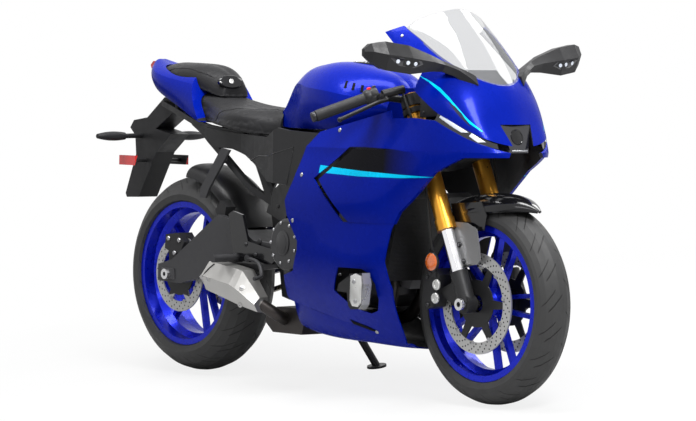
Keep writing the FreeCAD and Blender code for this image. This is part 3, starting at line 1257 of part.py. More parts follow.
COWL_SHARES = [
    (1.034, 0.800), (0.989, 0.835), (0.932, 0.878), (0.876, 0.924), (0.832, 0.955),
    (0.796, 0.939), (0.853, 0.887), (0.915, 0.836), (0.908, 0.792), (0.968, 0.737),
    (1.025, 0.699), (1.068, 0.670), (1.100, 0.643), (1.147, 0.653), (1.147, 0.800)
]
SCREEN_SHARES = [
    (1.037, 0.797), (0.989, 0.833), (0.932, 0.876), (0.876, 0.922), (0.832, 0.954),
    (0.836, 0.979), (0.860, 1.014), (1.075, 1.014), (1.147, 0.802)
]


def nose_loft(rows, wall):
    wires = []
    for row in rows:
        half = [at(s) for s in row]
        points = half + [Vector(p.x, -p.y, p.z) for p in half[-2::-1]]
        inner = inset(points, wall, Vector(0, 0, 1), Vector(0, 0, points[0].z))
        edges = path_edges(points) + [Part.makeLine(points[-1], inner[-1])]
        edges += path_edges(inner[::-1]) + [Part.makeLine(inner[0], points[0])]
        wires.append(Part.Wire(edges))
    return Part.makeLoft(wires, True, False)


def whole_prism(shares):
    return side_plate(shares, -size("wheelbase"), size("wheelbase"))


def nose_room(rows, wall):
    """The solid room inside the nose."""
    wires = []
    for row in rows:
        half = [at(s) for s in row]
        points = half + [Vector(p.x, -p.y, p.z) for p in half[-2::-1]]
        inner = inset(points, wall, Vector(0, 0, 1), Vector(0, 0, points[0].z))
        wires.append(Part.Wire(path_edges(inner) + [Part.makeLine(inner[-1], inner[0])]))
    return Part.makeLoft(wires, True, False)


nose = nose_loft(NOSE_ROWS_SHARES, size("panel_wall"))
LAMP_HOLE_SHARES = [(-0.250, 0.710), (0.250, 0.710), (0.142, 0.637), (-0.142, 0.637)]
lamp_hole = prism([front(s) for s in LAMP_HOLE_SHARES], Vector(size("wheelbase") * 2, 0, 0))
cowl = nose.common(whole_prism(COWL_SHARES)).cut(lamp_hole)
add("upper_cowl", cowl)
screen_loft = nose_loft(NOSE_ROWS_SHARES[2:], size("screen_wall"))
SCREEN_TOP_SHARES = [
    (0.792, 0.773), (0.792, 0.911), (0.667, 0.948), (0.583, 0.964), (0.396, 0.982),
    (0.208, 0.994), (0.000, 1.000), (-0.208, 0.994), (-0.396, 0.982), (-0.583, 0.964),
    (-0.667, 0.948), (-0.792, 0.911), (-0.792, 0.773)
]
top_points = [front(s) for s in SCREEN_TOP_SHARES]
top_edges = path_edges(top_points, (1, 11)) + [Part.makeLine(top_points[-1], top_points[0])]
screen_front = Part.Face(Part.Wire(top_edges)).extrude(Vector(size("wheelbase") * 2, 0, 0))
screen = largest(screen_loft.common(whole_prism(SCREEN_SHARES)).common(screen_front).cut(cowl))
add("windscreen", screen)

# lamps in the nose
LAMP_SHARES = [(-0.246, 0.708), (0.246, 0.708), (0.138, 0.639), (-0.138, 0.639)]
LAMP_SIDE_SHARES = [(1.004, 0.711), (1.057, 0.711), (1.075, 0.637), (1.004, 0.637)]
headlamp = prism([front(s) for s in LAMP_SHARES], Vector(size("wheelbase") * 2, 0, 0)).common(
    whole_prism(LAMP_SIDE_SHARES))
add("headlamp", headlamp)
RUNNING_LAMP_SHARES = [
    (0.968, 0.737), (1.025, 0.699), (1.068, 0.670), (1.100, 0.643), (1.087, 0.643),
    (1.031, 0.675), (0.961, 0.718)
]
lamp_wires = [nose_loft(NOSE_ROWS_SHARES[:3], size("lamp_depth"))]
running = lamp_wires[0].common(side_prism(RUNNING_LAMP_SHARES))
running = running.common(side_plate(RUNNING_LAMP_SHARES, size("lamp_inner"), size("wheelbase")))
running = largest(running.cut(cowl).cut(fairing_upper))
add("running_lamps", both(running))

# cockpit: instrument panel on a shelf that spans the inside of the cowl
SHELF_SHARES = [
    (0.916, 0.776), (0.916, 0.781), (0.932, 0.781), (0.948, 0.802), (0.956, 0.811),
    (0.969, 0.806), (0.981, 0.781), (1.075, 0.781), (1.075, 0.776)
]
shelf = whole_prism(SHELF_SHARES).common(nose_room(NOSE_ROWS_SHARES, size("panel_wall") + size("shelf_gap")))
POST_SHARES = [(0.935, 0.680), (0.955, 0.680), (0.955, 0.777), (0.935, 0.777)]
shelf = largest(shelf.fuse(side_plate(POST_SHARES, -size("post_half"), size("post_half"))))
PANEL_SHARES = [
    (0.920, 0.830), (0.933, 0.845), (0.968, 0.811), (0.956, 0.811), (0.948, 0.802)
]
panel = side_plate(PANEL_SHARES, -size("instrument_half"), size("instrument_half"))
add("cockpit_cover", shelf)
add("instrument_panel", panel)

# fuel tank
TANK_ROWS_SHARES = [
    [(0.323, 0.000, 0.737), (0.323, 0.117, 0.735), (0.323, 0.192, 0.723), (0.323, 0.208, 0.710),
     (0.323, 0.208, 0.689), (0.323, 0.000, 0.686)],
    [(0.358, 0.000, 0.754), (0.358, 0.167, 0.753), (0.358, 0.275, 0.741), (0.358, 0.300, 0.720),
     (0.358, 0.317, 0.687), (0.358, 0.000, 0.682)],
    [(0.399, 0.000, 0.799), (0.399, 0.233, 0.797), (0.399, 0.358, 0.785), (0.399, 0.383, 0.747),
     (0.399, 0.408, 0.685), (0.399, 0.000, 0.679)],
    [(0.430, 0.000, 0.832), (0.430, 0.292, 0.827), (0.430, 0.442, 0.802), (0.430, 0.467, 0.760),
     (0.430, 0.483, 0.685), (0.430, 0.000, 0.679)],
    [(0.480, 0.000, 0.851), (0.480, 0.350, 0.845), (0.480, 0.575, 0.797), (0.480, 0.592, 0.758),
     (0.480, 0.542, 0.685), (0.480, 0.000, 0.679)],
    [(0.545, 0.000, 0.859), (0.545, 0.383, 0.852), (0.545, 0.675, 0.790), (0.545, 0.675, 0.756),
     (0.545, 0.608, 0.685), (0.545, 0.000, 0.679)],
    [(0.616, 0.000, 0.850), (0.616, 0.367, 0.843), (0.616, 0.683, 0.780), (0.616, 0.692, 0.749),
     (0.616, 0.625, 0.687), (0.616, 0.000, 0.679)],
    [(0.688, 0.000, 0.826), (0.688, 0.292, 0.820), (0.688, 0.517, 0.766), (0.688, 0.533, 0.744),
     (0.688, 0.467, 0.700), (0.688, 0.000, 0.687)],
    [(0.724, 0.000, 0.795), (0.724, 0.208, 0.789), (0.724, 0.350, 0.758), (0.724, 0.383, 0.741),
     (0.724, 0.333, 0.713), (0.724, 0.000, 0.704)]
]
tank_wires = [body_section([at(s) for s in row], (2, 4)) for row in TANK_ROWS_SHARES]
tank = Part.makeLoft(tank_wires, True, False)
CAP_SHARE = [(0.573, 0.854)][0]
cap_spot = side(CAP_SHARE)
CAP_TILT = Vector(size("cap_slope"), 0, 1).normalize()
cap_hole = cylinder(cap_spot - CAP_TILT * size("cap_depth"), CAP_TILT,
                    size("cap_radius") + size("cap_gap"), size("cap_depth") * 3)
neck = rod(cap_spot - CAP_TILT * size("cap_depth") * 2, cap_spot - CAP_TILT * size("cap_depth") * 0.5,
           size("neck_radius"))
tank = tank.cut(cap_hole).cut(neck)
add("fuel_tank", tank)
cap = rounded(cylinder(cap_spot - CAP_TILT * (size("cap_depth") - size("seam")), CAP_TILT,
                       size("cap_radius"), size("cap_depth") + size("cap_rise")),
              size("cap_rounding"), lambda e: e.BoundBox.ZMin > cap_spot.z)
add("fuel_cap", cap)

# side covers under the tank
SIDE_COVER_SHARES = [
    (0.100, 0.678), (0.222, 0.666), (0.362, 0.658), (0.416, 0.685), (0.459, 0.679),
    (0.552, 0.675), (0.573, 0.672), (0.556, 0.639), (0.529, 0.550), (0.495, 0.526),
    (0.463, 0.533), (0.368, 0.541), (0.300, 0.587), (0.263, 0.607), (0.211, 0.622),
    (0.141, 0.625), (0.100, 0.658)
]
COVER_PLAN_SHARES = [
    (0.072, 0.433), (0.108, 0.458), (0.244, 0.492), (0.301, 0.542), (0.358, 0.617),
    (0.401, 0.692), (0.588, 0.692), (0.588, 0.650), (0.406, 0.650), (0.363, 0.579),
    (0.304, 0.504), (0.244, 0.469), (0.108, 0.438), (0.072, 0.412)
]
cover_out = size("side_cover_out")
COVER_STUD_SHARE = [(0.487, 0.574)][0]
cover_stud = rod(side(COVER_STUD_SHARE, size("chain_plane")), side(COVER_STUD_SHARE, cover_out),
                 size("stay_radius"))
cover_plan = prism([Vector(a * size("wheelbase"), b * size("fairing_half_width"), 0)
                    for a, b in COVER_PLAN_SHARES], Vector(0, 0, size("overall_height")))
side_cover = side_plate(SIDE_COVER_SHARES, 0, size("fairing_half_width")).common(cover_plan)
side_cover = joined([side_cover, cover_stud])
side_cover = largest(side_cover.cut(fairing_upper).cut(tank).cut(frame_shape))
add("side_covers", both(side_cover))

# seats
SEAT_ROWS_SHARES = [
    [(0.043, 0.000, 0.777), (0.043, 0.225, 0.773), (0.043, 0.350, 0.756), (0.043, 0.383, 0.735),
     (0.043, 0.367, 0.710), (0.043, 0.000, 0.704)],
    [(0.108, 0.000, 0.761), (0.108, 0.250, 0.758), (0.108, 0.408, 0.741), (0.108, 0.433, 0.720),
     (0.108, 0.408, 0.692), (0.108, 0.000, 0.687)],
    [(0.172, 0.000, 0.741), (0.172, 0.375, 0.739), (0.172, 0.550, 0.723), (0.172, 0.575, 0.704),
     (0.172, 0.542, 0.684), (0.172, 0.000, 0.679)],
    [(0.244, 0.000, 0.732), (0.244, 0.417, 0.730), (0.244, 0.608, 0.716), (0.244, 0.625, 0.696),
     (0.244, 0.592, 0.672), (0.244, 0.000, 0.667)],
    [(0.308, 0.000, 0.731), (0.308, 0.300, 0.729), (0.308, 0.508, 0.711), (0.308, 0.542, 0.687),
     (0.308, 0.517, 0.663), (0.308, 0.000, 0.658)],
    [(0.362, 0.000, 0.735), (0.362, 0.192, 0.733), (0.362, 0.333, 0.715), (0.362, 0.383, 0.692),
     (0.362, 0.392, 0.663), (0.362, 0.000, 0.658)]
]
seat = Part.makeLoft([body_section([at(s) for s in row], (4,)) for row in SEAT_ROWS_SHARES], True,
                     False).cut(tank).cut(pieces["subframe"].Shape)
seat = largest(seat)
add("rider_seat", seat)
PILLION_ROWS_SHARES = [
    [(-0.118, 0.000, 0.846), (-0.118, 0.142, 0.844), (-0.118, 0.225, 0.832),
     (-0.118, 0.242, 0.816), (-0.118, 0.217, 0.806), (-0.118, 0.000, 0.804)],
    [(-0.057, 0.000, 0.854), (-0.057, 0.200, 0.851), (-0.057, 0.308, 0.835),
     (-0.057, 0.325, 0.816), (-0.057, 0.300, 0.792), (-0.057, 0.000, 0.789)],
    [(0.014, 0.000, 0.850), (0.014, 0.242, 0.847), (0.014, 0.350, 0.828), (0.014, 0.367, 0.806),
     (0.014, 0.342, 0.784), (0.014, 0.000, 0.780)],
    [(0.061, 0.000, 0.843), (0.061, 0.217, 0.838), (0.061, 0.317, 0.813), (0.061, 0.333, 0.794),
     (0.061, 0.317, 0.778), (0.061, 0.000, 0.775)],
    [(0.093, 0.000, 0.830), (0.093, 0.183, 0.822), (0.093, 0.267, 0.796), (0.093, 0.283, 0.780),
     (0.093, 0.275, 0.766), (0.093, 0.000, 0.764)],
    [(0.119, 0.000, 0.806), (0.119, 0.133, 0.797), (0.119, 0.200, 0.780), (0.119, 0.217, 0.770),
     (0.119, 0.208, 0.761), (0.119, 0.000, 0.759)]
]
pillion = Part.makeLoft([body_section([at(s) for s in row], (4,)) for row in PILLION_ROWS_SHARES],
                        True, False)
pillion = largest(pillion.cut(seat))
add("pillion_seat", pillion)

# tail: side panels under the pillion seat, open below, and the lamp at the end
TAIL_ROWS_SHARES = [
    [(-0.162, 0.000, 0.863), (-0.162, 0.108, 0.859), (-0.162, 0.158, 0.846),
     (-0.162, 0.175, 0.833), (-0.162, 0.133, 0.816), (-0.162, 0.000, 0.813)],
    [(-0.108, 0.000, 0.846), (-0.108, 0.242, 0.840), (-0.108, 0.350, 0.826),
     (-0.108, 0.375, 0.809), (-0.108, 0.325, 0.777), (-0.108, 0.000, 0.765)],
    [(-0.043, 0.000, 0.830), (-0.043, 0.308, 0.826), (-0.043, 0.408, 0.811),
     (-0.043, 0.442, 0.787), (-0.043, 0.400, 0.749), (-0.043, 0.000, 0.737)],
    [(0.043, 0.000, 0.816), (0.043, 0.350, 0.813), (0.043, 0.442, 0.796), (0.043, 0.492, 0.765),
     (0.043, 0.492, 0.715), (0.043, 0.000, 0.706)],
    [(0.108, 0.000, 0.799), (0.108, 0.350, 0.795), (0.108, 0.458, 0.773), (0.108, 0.525, 0.741),
     (0.108, 0.525, 0.687), (0.108, 0.000, 0.680)]
]
# the side panels end in a slanted edge in front
TAIL_FRONT_SHARES = [
    (-0.215, 0.945), (0.034, 0.945), (0.044, 0.813), (0.062, 0.765), (0.093, 0.695),
    (0.097, 0.653), (-0.215, 0.653)
]
tail = Part.makeLoft([body_section([at(s) for s in row], (2, 4)) for row in TAIL_ROWS_SHARES], True,
                     False).common(whole_prism(TAIL_FRONT_SHARES))
tail = tail.cut(pillion).cut(seat).cut(pieces["subframe"].Shape)
tail = largest(tail)
add("tail_cowl", tail)
# studs on the rails that carry the seats and the tail, and rests on the beams that carry the tank
RAIL_STUD_SHARES = [
    (0.215, 0.404, 0.662), (0.043, 0.354, 0.691), (-0.043, 0.263, 0.718)
]
TANK_REST_SHARE = [(0.671, 0.483, 0.668)][0]


def stud(share, carrier, *carried):
    """A stud from the carrier up to the underside of what it carries, on both sides."""
    post = rod(at(share), at(share) + Vector(0, 0, size("stud_length")), size("stud_radius"))
    for shape in carried:
        post = post.cut(shape)
    post = min(post.Solids, key=lambda solid: solid.BoundBox.ZMin)
    return joined([carrier, post, mirrored(post)])


for share in RAIL_STUD_SHARES:
    pieces["subframe"].Shape = stud(share, pieces["subframe"].Shape, seat, pillion, tail)
frame_shape = stud(TANK_REST_SHARE, frame_shape, tank)
pieces["frame"].Shape = frame_shape
LAMP_TAIL_SHARES = [
    (-0.181, 0.846), (-0.171, 0.857), (-0.158, 0.857), (-0.158, 0.818), (-0.172, 0.823)
]
tail_lamp = side_plate(LAMP_TAIL_SHARES, -size("tail_lamp_half"), size("tail_lamp_half"))
add("tail_lamp", largest(tail_lamp.cut(tail)))

# rear mudguard with the number plate bracket, indicators and reflectors
REAR_FENDER_SHARES = [
    (-0.043, 0.732), (-0.079, 0.749), (-0.118, 0.756), (-0.184, 0.698), (-0.237, 0.689),
    (-0.251, 0.668), (-0.231, 0.646), (-0.227, 0.593), (-0.267, 0.481), (-0.262, 0.470),
    (-0.215, 0.472), (-0.148, 0.601), (-0.108, 0.637), (-0.093, 0.653), (-0.152, 0.667),
    (-0.086, 0.713)
]
rear_fender = side_plate(REAR_FENDER_SHARES, -size("plate_half"), size("plate_half"))
for feature in ("tail_cowl", "subframe"):
    rear_fender = rear_fender.cut(pieces[feature].Shape)
rear_fender = largest(rear_fender)
add("rear_fender", rear_fender)
SIGNAL_SHARES = [
    (-0.204, 0.158, 0.646), (-0.202, 0.467, 0.645), (-0.202, 0.925, 0.645)
]
stalk = rod(at(SIGNAL_SHARES[0]), at(SIGNAL_SHARES[1]), size("signal_stalk"))
pod_low, pod_high = at(SIGNAL_SHARES[1]), at(SIGNAL_SHARES[2])
pod = Part.makeLoft([
    Part.Wire(Part.makeCircle(size("signal_radius") * 0.8, pod_low, LEFT)),
    Part.Wire(Part.makeCircle(size("signal_radius"), (pod_low + pod_high) * 0.5, LEFT)),
    Part.Wire(Part.makeCircle(size("signal_radius") * 0.5, pod_high, LEFT))], True, False)
add("rear_signals", both(largest(joined([stalk, pod]).cut(rear_fender))))
REFLECTOR_ARM_SHARES = [(-0.188, 0.150, 0.577), (-0.188, 0.421, 0.577)]
REFLECTOR_SHARES = [(-0.224, 0.564), (-0.224, 0.591), (-0.162, 0.591), (-0.162, 0.564)]
reflector_arm = rod(at(REFLECTOR_ARM_SHARES[0]), at(REFLECTOR_ARM_SHARES[1]), size("lever_radius"))
reflector = side_plate(REFLECTOR_SHARES, size("reflector_in"), size("reflector_out"))
add("rear_reflectors", both(largest(joined([reflector_arm, reflector]).cut(rear_fender))))

# rear hugger over the tyre, carried by the swingarm
HUGGER_TURNS_SHARES = [0.05, 0.28, 0.50, 0.70]
hugger_wires = []
for turn_share in HUGGER_TURNS_SHARES:
    turn = turn_share * math.pi / 2
    spoke = Vector(math.sin(turn), 0, math.cos(turn))
    row = []
    for across_share, drop_share in FENDER_ARC_SHARES:
        row.append(REAR_AXLE + spoke * (size("hugger_radius") - size("hugger_drop") * drop_share)
                   + LEFT * (size("hugger_half") * across_share))
    inner = [p - spoke * size("panel_wall") for p in row]
    edges = path_edges(row) + [Part.makeLine(row[-1], inner[-1])]
    edges += path_edges(inner[::-1]) + [Part.makeLine(inner[0], row[0])]
    hugger_wires.append(Part.Wire(edges))
hugger = Part.makeLoft(hugger_wires, True, False)
HUGGER_LEG_SHARES = [
    (0.166, 0.421), (0.188, 0.442), (0.192, 0.464), (0.172, 0.481), (0.152, 0.455)
]
hugger_leg = side_plate(HUGGER_LEG_SHARES, size("hugger_half") - size("panel_wall") * 3,
                        size("swingarm_plane") - size("swingarm_wall") / 2)
add("rear_hugger", joined([hugger, hugger_leg, mirrored(hugger_leg)]))

# footrests with heel plates, pedal and shift lever
REST_PLATE_SHARES = [
    (0.237, 0.447), (0.252, 0.457), (0.287, 0.448), (0.308, 0.378), (0.373, 0.365),
    (0.405, 0.361), (0.411, 0.337), (0.391, 0.321), (0.315, 0.318), (0.262, 0.320),
    (0.252, 0.361)
]
rest_plate = side_plate(REST_PLATE_SHARES, size("rest_in"), size("rest_in") + size("panel_wall") * 2)
REST_PEG_SHARES = [(0.270, 0.642, 0.333), (0.270, 0.733, 0.332), (0.271, 1.067, 0.331)]
peg = joined([rod(at(REST_PEG_SHARES[0]), at(REST_PEG_SHARES[1]), size("peg_radius") * 1.2),
              rod(at(REST_PEG_SHARES[1]), at(REST_PEG_SHARES[2]), size("peg_radius"))])
PEDAL_SHARES = [
    (0.315, 0.683, 0.333), (0.362, 0.717, 0.326), (0.399, 0.833, 0.290), (0.401, 0.983, 0.285)
]
pedal = pipe([at(s) for s in PEDAL_SHARES], size("lever_radius"))
pedal_boss = rod(at(PEDAL_SHARES[0]) + LEFT * size("lever_radius"),
                 at(PEDAL_SHARES[0]) - LEFT * size("lever_radius") * 2, size("peg_radius"))
rest = joined([rest_plate, peg, pedal_boss, pedal])
add("rider_footrests", both(rest))
PILLION_BRACKET_SHARES = [
    (0.188, 0.624), (0.218, 0.619), (0.146, 0.515), (0.132, 0.486), (0.110, 0.486),
    (0.110, 0.509)
]
pillion_bracket = side_plate(PILLION_BRACKET_SHARES, size("pillion_in"),
                             size("pillion_in") + size("panel_wall") * 2)
# the footrest itself is folded up against its bracket
PILLION_PEG_SHARES = [(0.120, 0.583, 0.498), (0.119, 0.642, 0.500), (0.085, 0.667, 0.581)]
pillion_rest = joined([pillion_bracket, rod(at(PILLION_PEG_SHARES[0]), at(PILLION_PEG_SHARES[1]),
                                            size("peg_radius")),
                       rod(at(PILLION_PEG_SHARES[1]), at(PILLION_PEG_SHARES[2]), size("peg_radius"))])
PILLION_STAY_SHARES = [(0.179, 0.550, 0.588), (0.179, 0.417, 0.588)]
pillion_stay = rod(at(PILLION_STAY_SHARES[0]), at(PILLION_STAY_SHARES[1]), size("stay_radius"))
pillion_rest = largest(joined([pillion_rest, pillion_stay]).cut(pieces["subframe"].Shape))
add("pillion_footrests", both(pillion_rest))

# mirrors on stalks from the upper cowl
# sections from the foot on the cowl out to the tip: crease in front, top, back top, back foot, foot
MIRROR_ROWS_SHARES = [
    [(1.015, 0.375, 0.808), (1.006, 0.375, 0.830), (0.975, 0.375, 0.833), (0.969, 0.375, 0.806),
     (1.004, 0.375, 0.794)],
    [(1.005, 0.467, 0.826), (0.996, 0.467, 0.842), (0.969, 0.467, 0.840), (0.968, 0.467, 0.813),
     (0.996, 0.467, 0.806)],
    [(0.992, 0.583, 0.845), (0.984, 0.583, 0.854), (0.965, 0.583, 0.852), (0.963, 0.583, 0.832),
     (0.982, 0.583, 0.828)],
    [(0.979, 0.733, 0.857), (0.969, 0.733, 0.868), (0.955, 0.733, 0.864), (0.953, 0.733, 0.844),
     (0.969, 0.733, 0.840)],
    [(0.978, 0.900, 0.864), (0.965, 0.900, 0.882), (0.948, 0.900, 0.880), (0.946, 0.900, 0.847),
     (0.968, 0.900, 0.840)],
    [(0.979, 1.250, 0.873), (0.963, 1.250, 0.905), (0.939, 1.250, 0.902), (0.938, 1.250, 0.838),
     (0.968, 1.250, 0.833)],
    [(0.966, 1.567, 0.881), (0.952, 1.567, 0.914), (0.929, 1.567, 0.912), (0.928, 1.567, 0.847),
     (0.955, 1.567, 0.842)],
    [(0.948, 1.717, 0.888), (0.939, 1.717, 0.909), (0.925, 1.717, 0.907), (0.923, 1.717, 0.866),
     (0.939, 1.717, 0.861)],
    [(0.933, 1.792, 0.888), (0.930, 1.792, 0.895), (0.923, 1.792, 0.894), (0.923, 1.792, 0.878),
     (0.930, 1.792, 0.876)]
]
mirror = largest(ruled(MIRROR_ROWS_SHARES).cut(cowl).cut(screen))
add("mirrors", both(mirror))

# sliders on brackets in the side holes
SLIDER_SHARES = [
    (0.728, 0.284), (0.734, 0.239), (0.743, 0.230), (0.768, 0.232), (0.777, 0.244),
    (0.784, 0.296), (0.778, 0.325), (0.738, 0.321)
]
slider = side_plate(SLIDER_SHARES, size("slider_in"), size("slider_out"))
SLIDER_ARM_SHARES = [
    (0.670, 0.271), (0.674, 0.290), (0.705, 0.311), (0.753, 0.296), (0.753, 0.268)
]
slider_arm = side_plate(SLIDER_ARM_SHARES, size("crankcase_half"), size("slider_in"))
add("slider_covers", both(joined([slider, slider_arm])))

# side stand: leg from its lug, with a foot plate flat on the ground
LEAN = math.radians(size("lean_angle"))
foot_across = size("stand_reach")
ground_at_foot = (foot_across * math.sin(LEAN) - size("ground_rise")) / math.cos(LEAN)
GROUND_NORMAL = Vector(0, -math.sin(LEAN), math.cos(LEAN))
stand_foot = Vector(size("stand_ahead"), foot_across, ground_at_foot)
foot_plate = cylinder(stand_foot, GROUND_NORMAL, size("stand_foot") / 2, size("foot_thickness"))
stand_leg = rod(stand_pivot, stand_foot + GROUND_NORMAL * size("foot_thickness") * 0.7,
                size("stand_radius"))
stand_eye = rod(stand_pivot - eye_half, stand_pivot + eye_half, size("stand_eye"))
stand_hole = rod(stand_pivot - eye_half * 3, stand_pivot + eye_half * 3,
                 size("stand_pin") + size("running_gap"))
stand = joined([foot_plate, stand_leg, stand_eye]).cut(stand_hole)
lug_room = rod(lug_face - STAND_AXIS * size("stand_eye") * 2, lug_face + STAND_AXIS * size("seam"),
               size("stand_eye") * 1.5)
add("side_stand", largest(stand.cut(lug_room)))

# stance: each piece is leaned onto the side stand, then the origin is set under the middle
doc.recompute()
AXLE_OF = {
    "front_tyre": FRONT_AXLE, "front_rim": FRONT_AXLE, "front_disc_left": FRONT_AXLE,
    "front_disc_right": FRONT_AXLE, "front_axle": FRONT_AXLE,
    "rear_tyre": REAR_AXLE, "rear_rim": REAR_AXLE, "rear_disc": REAR_AXLE,
    "rear_sprocket": REAR_AXLE, "rear_axle": REAR_AXLE,
}
lean = Placement(Vector(0, 0, size("ground_rise")), Rotation(Vector(1, 0, 0), -size("lean_angle")))
low = Vector(size("wheelbase"), size("wheelbase"), size("wheelbase"))
high = low * -1
placed = {}
for label, feature in pieces.items():
    own = Placement(AXLE_OF.get(label, Vector(0, 0, 0)), Rotation())
    placed[label] = lean.multiply(own)
    feature.Placement = placed[label]
doc.recompute()
for label, feature in pieces.items():
    box = feature.Shape.optimalBoundingBox(False)
    low = Vector(min(low.x, box.XMin), min(low.y, box.YMin), min(low.z, box.ZMin))
    high = Vector(max(high.x, box.XMax), max(high.y, box.YMax), max(high.z, box.ZMax))
shift = Vector(-(low.x + high.x) / 2, -(low.y + high.y) / 2, 0)
for label, feature in pieces.items():
    feature.Placement = Placement(shift, Rotation()).multiply(placed[label])
doc.recompute()

# every object is sound before anything is written
for item in doc.Objects:
    troubles = [state for state in item.State if state in ("Invalid", "Error")]
    if troubles:
        raise RuntimeError(f"{item.Label}: {troubles}")
unsound = [label for label, feature in pieces.items()
           if feature.Shape.isNull() or not feature.Shape.isValid()]
if unsound:
    raise RuntimeError(f"not sound: {unsound}")

os.makedirs("parts", exist_ok=True)
for label, feature in pieces.items():
    feature.Shape.exportStep(f"parts/{label}.step")
    box = feature.Shape.optimalBoundingBox(False)
    print(f"{label:22s} solids {len(feature.Shape.Solids)} volume {feature.Shape.Volume / 1000:10.1f} cm3"
          f"  z {box.ZMin:7.1f} {box.ZMax:7.1f}")
print("box", low, high, "shift", shift)


def row_point(point):
    """A point of the upright machine, after lean and shift."""
    return Placement(shift, Rotation()).multiply(lean).multVec(point)


def row_direction(direction):
    return lean.Rotation.multVec(direction)


for name, point in (("front axle", FRONT_AXLE), ("rear axle", REAR_AXLE), ("steering foot", STEER_FOOT),
                    ("steering head", on_stem(up_leg("lower_yoke_height"))),
                    ("stand pivot", stand_pivot), ("cap hinge", cap_spot)):
    print(name, [round(v, 3) for v in row_point(point)])
print("steering axis", [round(v, 6) for v in row_direction(STEER_AXIS)])
print("wheel axis", [round(v, 6) for v in row_direction(LEFT)])
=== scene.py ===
import json
import math
import bmesh
import bpy
from mathutils import Matrix, Vector
from mathutils.bvhtree import BVHTree


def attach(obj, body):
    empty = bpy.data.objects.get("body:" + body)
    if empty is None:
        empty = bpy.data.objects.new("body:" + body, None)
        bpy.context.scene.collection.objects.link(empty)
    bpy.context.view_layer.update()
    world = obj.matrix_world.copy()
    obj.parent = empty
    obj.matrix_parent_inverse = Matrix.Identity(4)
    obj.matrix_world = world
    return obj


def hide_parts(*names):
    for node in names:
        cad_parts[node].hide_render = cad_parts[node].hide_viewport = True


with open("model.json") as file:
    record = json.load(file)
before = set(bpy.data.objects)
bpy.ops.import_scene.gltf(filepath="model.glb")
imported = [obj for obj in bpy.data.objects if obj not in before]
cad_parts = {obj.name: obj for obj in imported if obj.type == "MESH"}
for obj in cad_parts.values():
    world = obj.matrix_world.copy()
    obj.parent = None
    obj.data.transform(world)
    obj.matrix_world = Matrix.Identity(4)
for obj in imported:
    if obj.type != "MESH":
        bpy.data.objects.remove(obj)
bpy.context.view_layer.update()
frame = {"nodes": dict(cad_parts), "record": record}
scene = bpy.context.scene
nodes, record = frame["nodes"], frame["record"]

# Places are in the upright machine's own frame, in millimetres: X forward from under the rear
# axle, Y left, Z up. Axles are given as (along, height).
MM = 1000  # millimetres in a metre
REAR_AXLE, FRONT_AXLE = (0, 315), (1395, 300)
LEAN = math.radians(10.0)
TURN = Matrix.Rotation(-LEAN, 4, "X")
SPIN = next(j for j in record["behaviour"]["joints"] if j["name"] == "rear_wheel_spin")
SHIFT = Vector(SPIN["pos_m"]) - TURN @ Vector((0.0, 0.0, REAR_AXLE[1] / MM))
UPRIGHT = Matrix.Translation(SHIFT) @ TURN
LEVEL = UPRIGHT.inverted()
TURN3, LEVEL3 = TURN.to_3x3(), LEVEL.to_3x3()
BOTH = ((1, "left"), (-1, "right"))


def at(x, y, z):
    """A point of the upright machine in millimetres, as a point of the model in metres."""
    return UPRIGHT @ Vector((x / MM, y / MM, z / MM))


def way(x, y, z):
    """A direction of the upright machine in the model's frame."""
    return (TURN3 @ Vector((x, y, z))).normalized()


FORWARD, RIGHTWARD, UPWARD = way(1, 0, 0), way(0, -1, 0), way(0, 0, 1)

# Materials
MIX_FACTOR, MIX_A, MIX_B, MIX_RESULT = 0, 6, 7, 2  # sockets of a colour mix node
ALONG, ACROSS, HEIGHT = 0, 1, 2  # outputs of machine_coords
WHOLE_TURNS = 50  # added before a fraction is taken, so that it is never negative
GROOVE_TURNS = 8  # the same for a tyre's grooves
LIGHTER = 1.09  # a finish wanders from its colour to this many times as bright


def clean(name):
    """A new material with only a principled shader."""
    mat = bpy.data.materials.new(name)
    mat.use_nodes = True
    nt = mat.node_tree
    nt.nodes.clear()
    out = nt.nodes.new("ShaderNodeOutputMaterial")
    bsdf = nt.nodes.new("ShaderNodeBsdfPrincipled")
    nt.links.new(bsdf.outputs[0], out.inputs[0])
    return mat, nt, bsdf


def fit(shader, **values):
    """Constant values on a node's own sockets; _ in a name stands for a space."""
    for name, value in values.items():
        shader.inputs[name.replace("_", " ")].default_value = value


def node(nt, kind, **values):
    """A new node with some of its properties set."""
    n = nt.nodes.new(kind)
    for key, value in values.items():
        setattr(n, key, value)
    return n


def put(nt, socket, value):
    """A constant or another node's output on a socket."""
    if isinstance(value, (int, float, tuple)):
        socket.default_value = value
    else:
        nt.links.new(value, socket)


def calc(nt, op, a, b=None, clamp=False):
    """A math node of one or two values."""
    n = node(nt, "ShaderNodeMath", operation=op)
    n.use_clamp = clamp
    for i, v in enumerate((a, b)):
        if v is not None:
            put(nt, n.inputs[i], v)
    return n.outputs[0]


def object_coords(nt):
    return node(nt, "ShaderNodeTexCoord").outputs["Object"]


def machine_coords(nt):
    """Object coordinates turned back to the upright machine, in metres."""
    moved = node(nt, "ShaderNodeMapping")
    fit(moved, Location=tuple(-SHIFT))
    nt.links.new(object_coords(nt), moved.inputs["Vector"])
    turned = node(nt, "ShaderNodeMapping")
    fit(turned, Rotation=(LEAN, 0, 0))
    nt.links.new(moved.outputs[0], turned.inputs["Vector"])
    split = node(nt, "ShaderNodeSeparateXYZ")
    nt.links.new(turned.outputs[0], split.inputs[0])
    return split.outputs


def from_axle(nt, where, axle):
    """How far forward of an axle and above it a point of the surface is."""
    return (calc(nt, "SUBTRACT", where[ALONG], axle[0] / MM),
            calc(nt, "SUBTRACT", where[HEIGHT], axle[1] / MM))


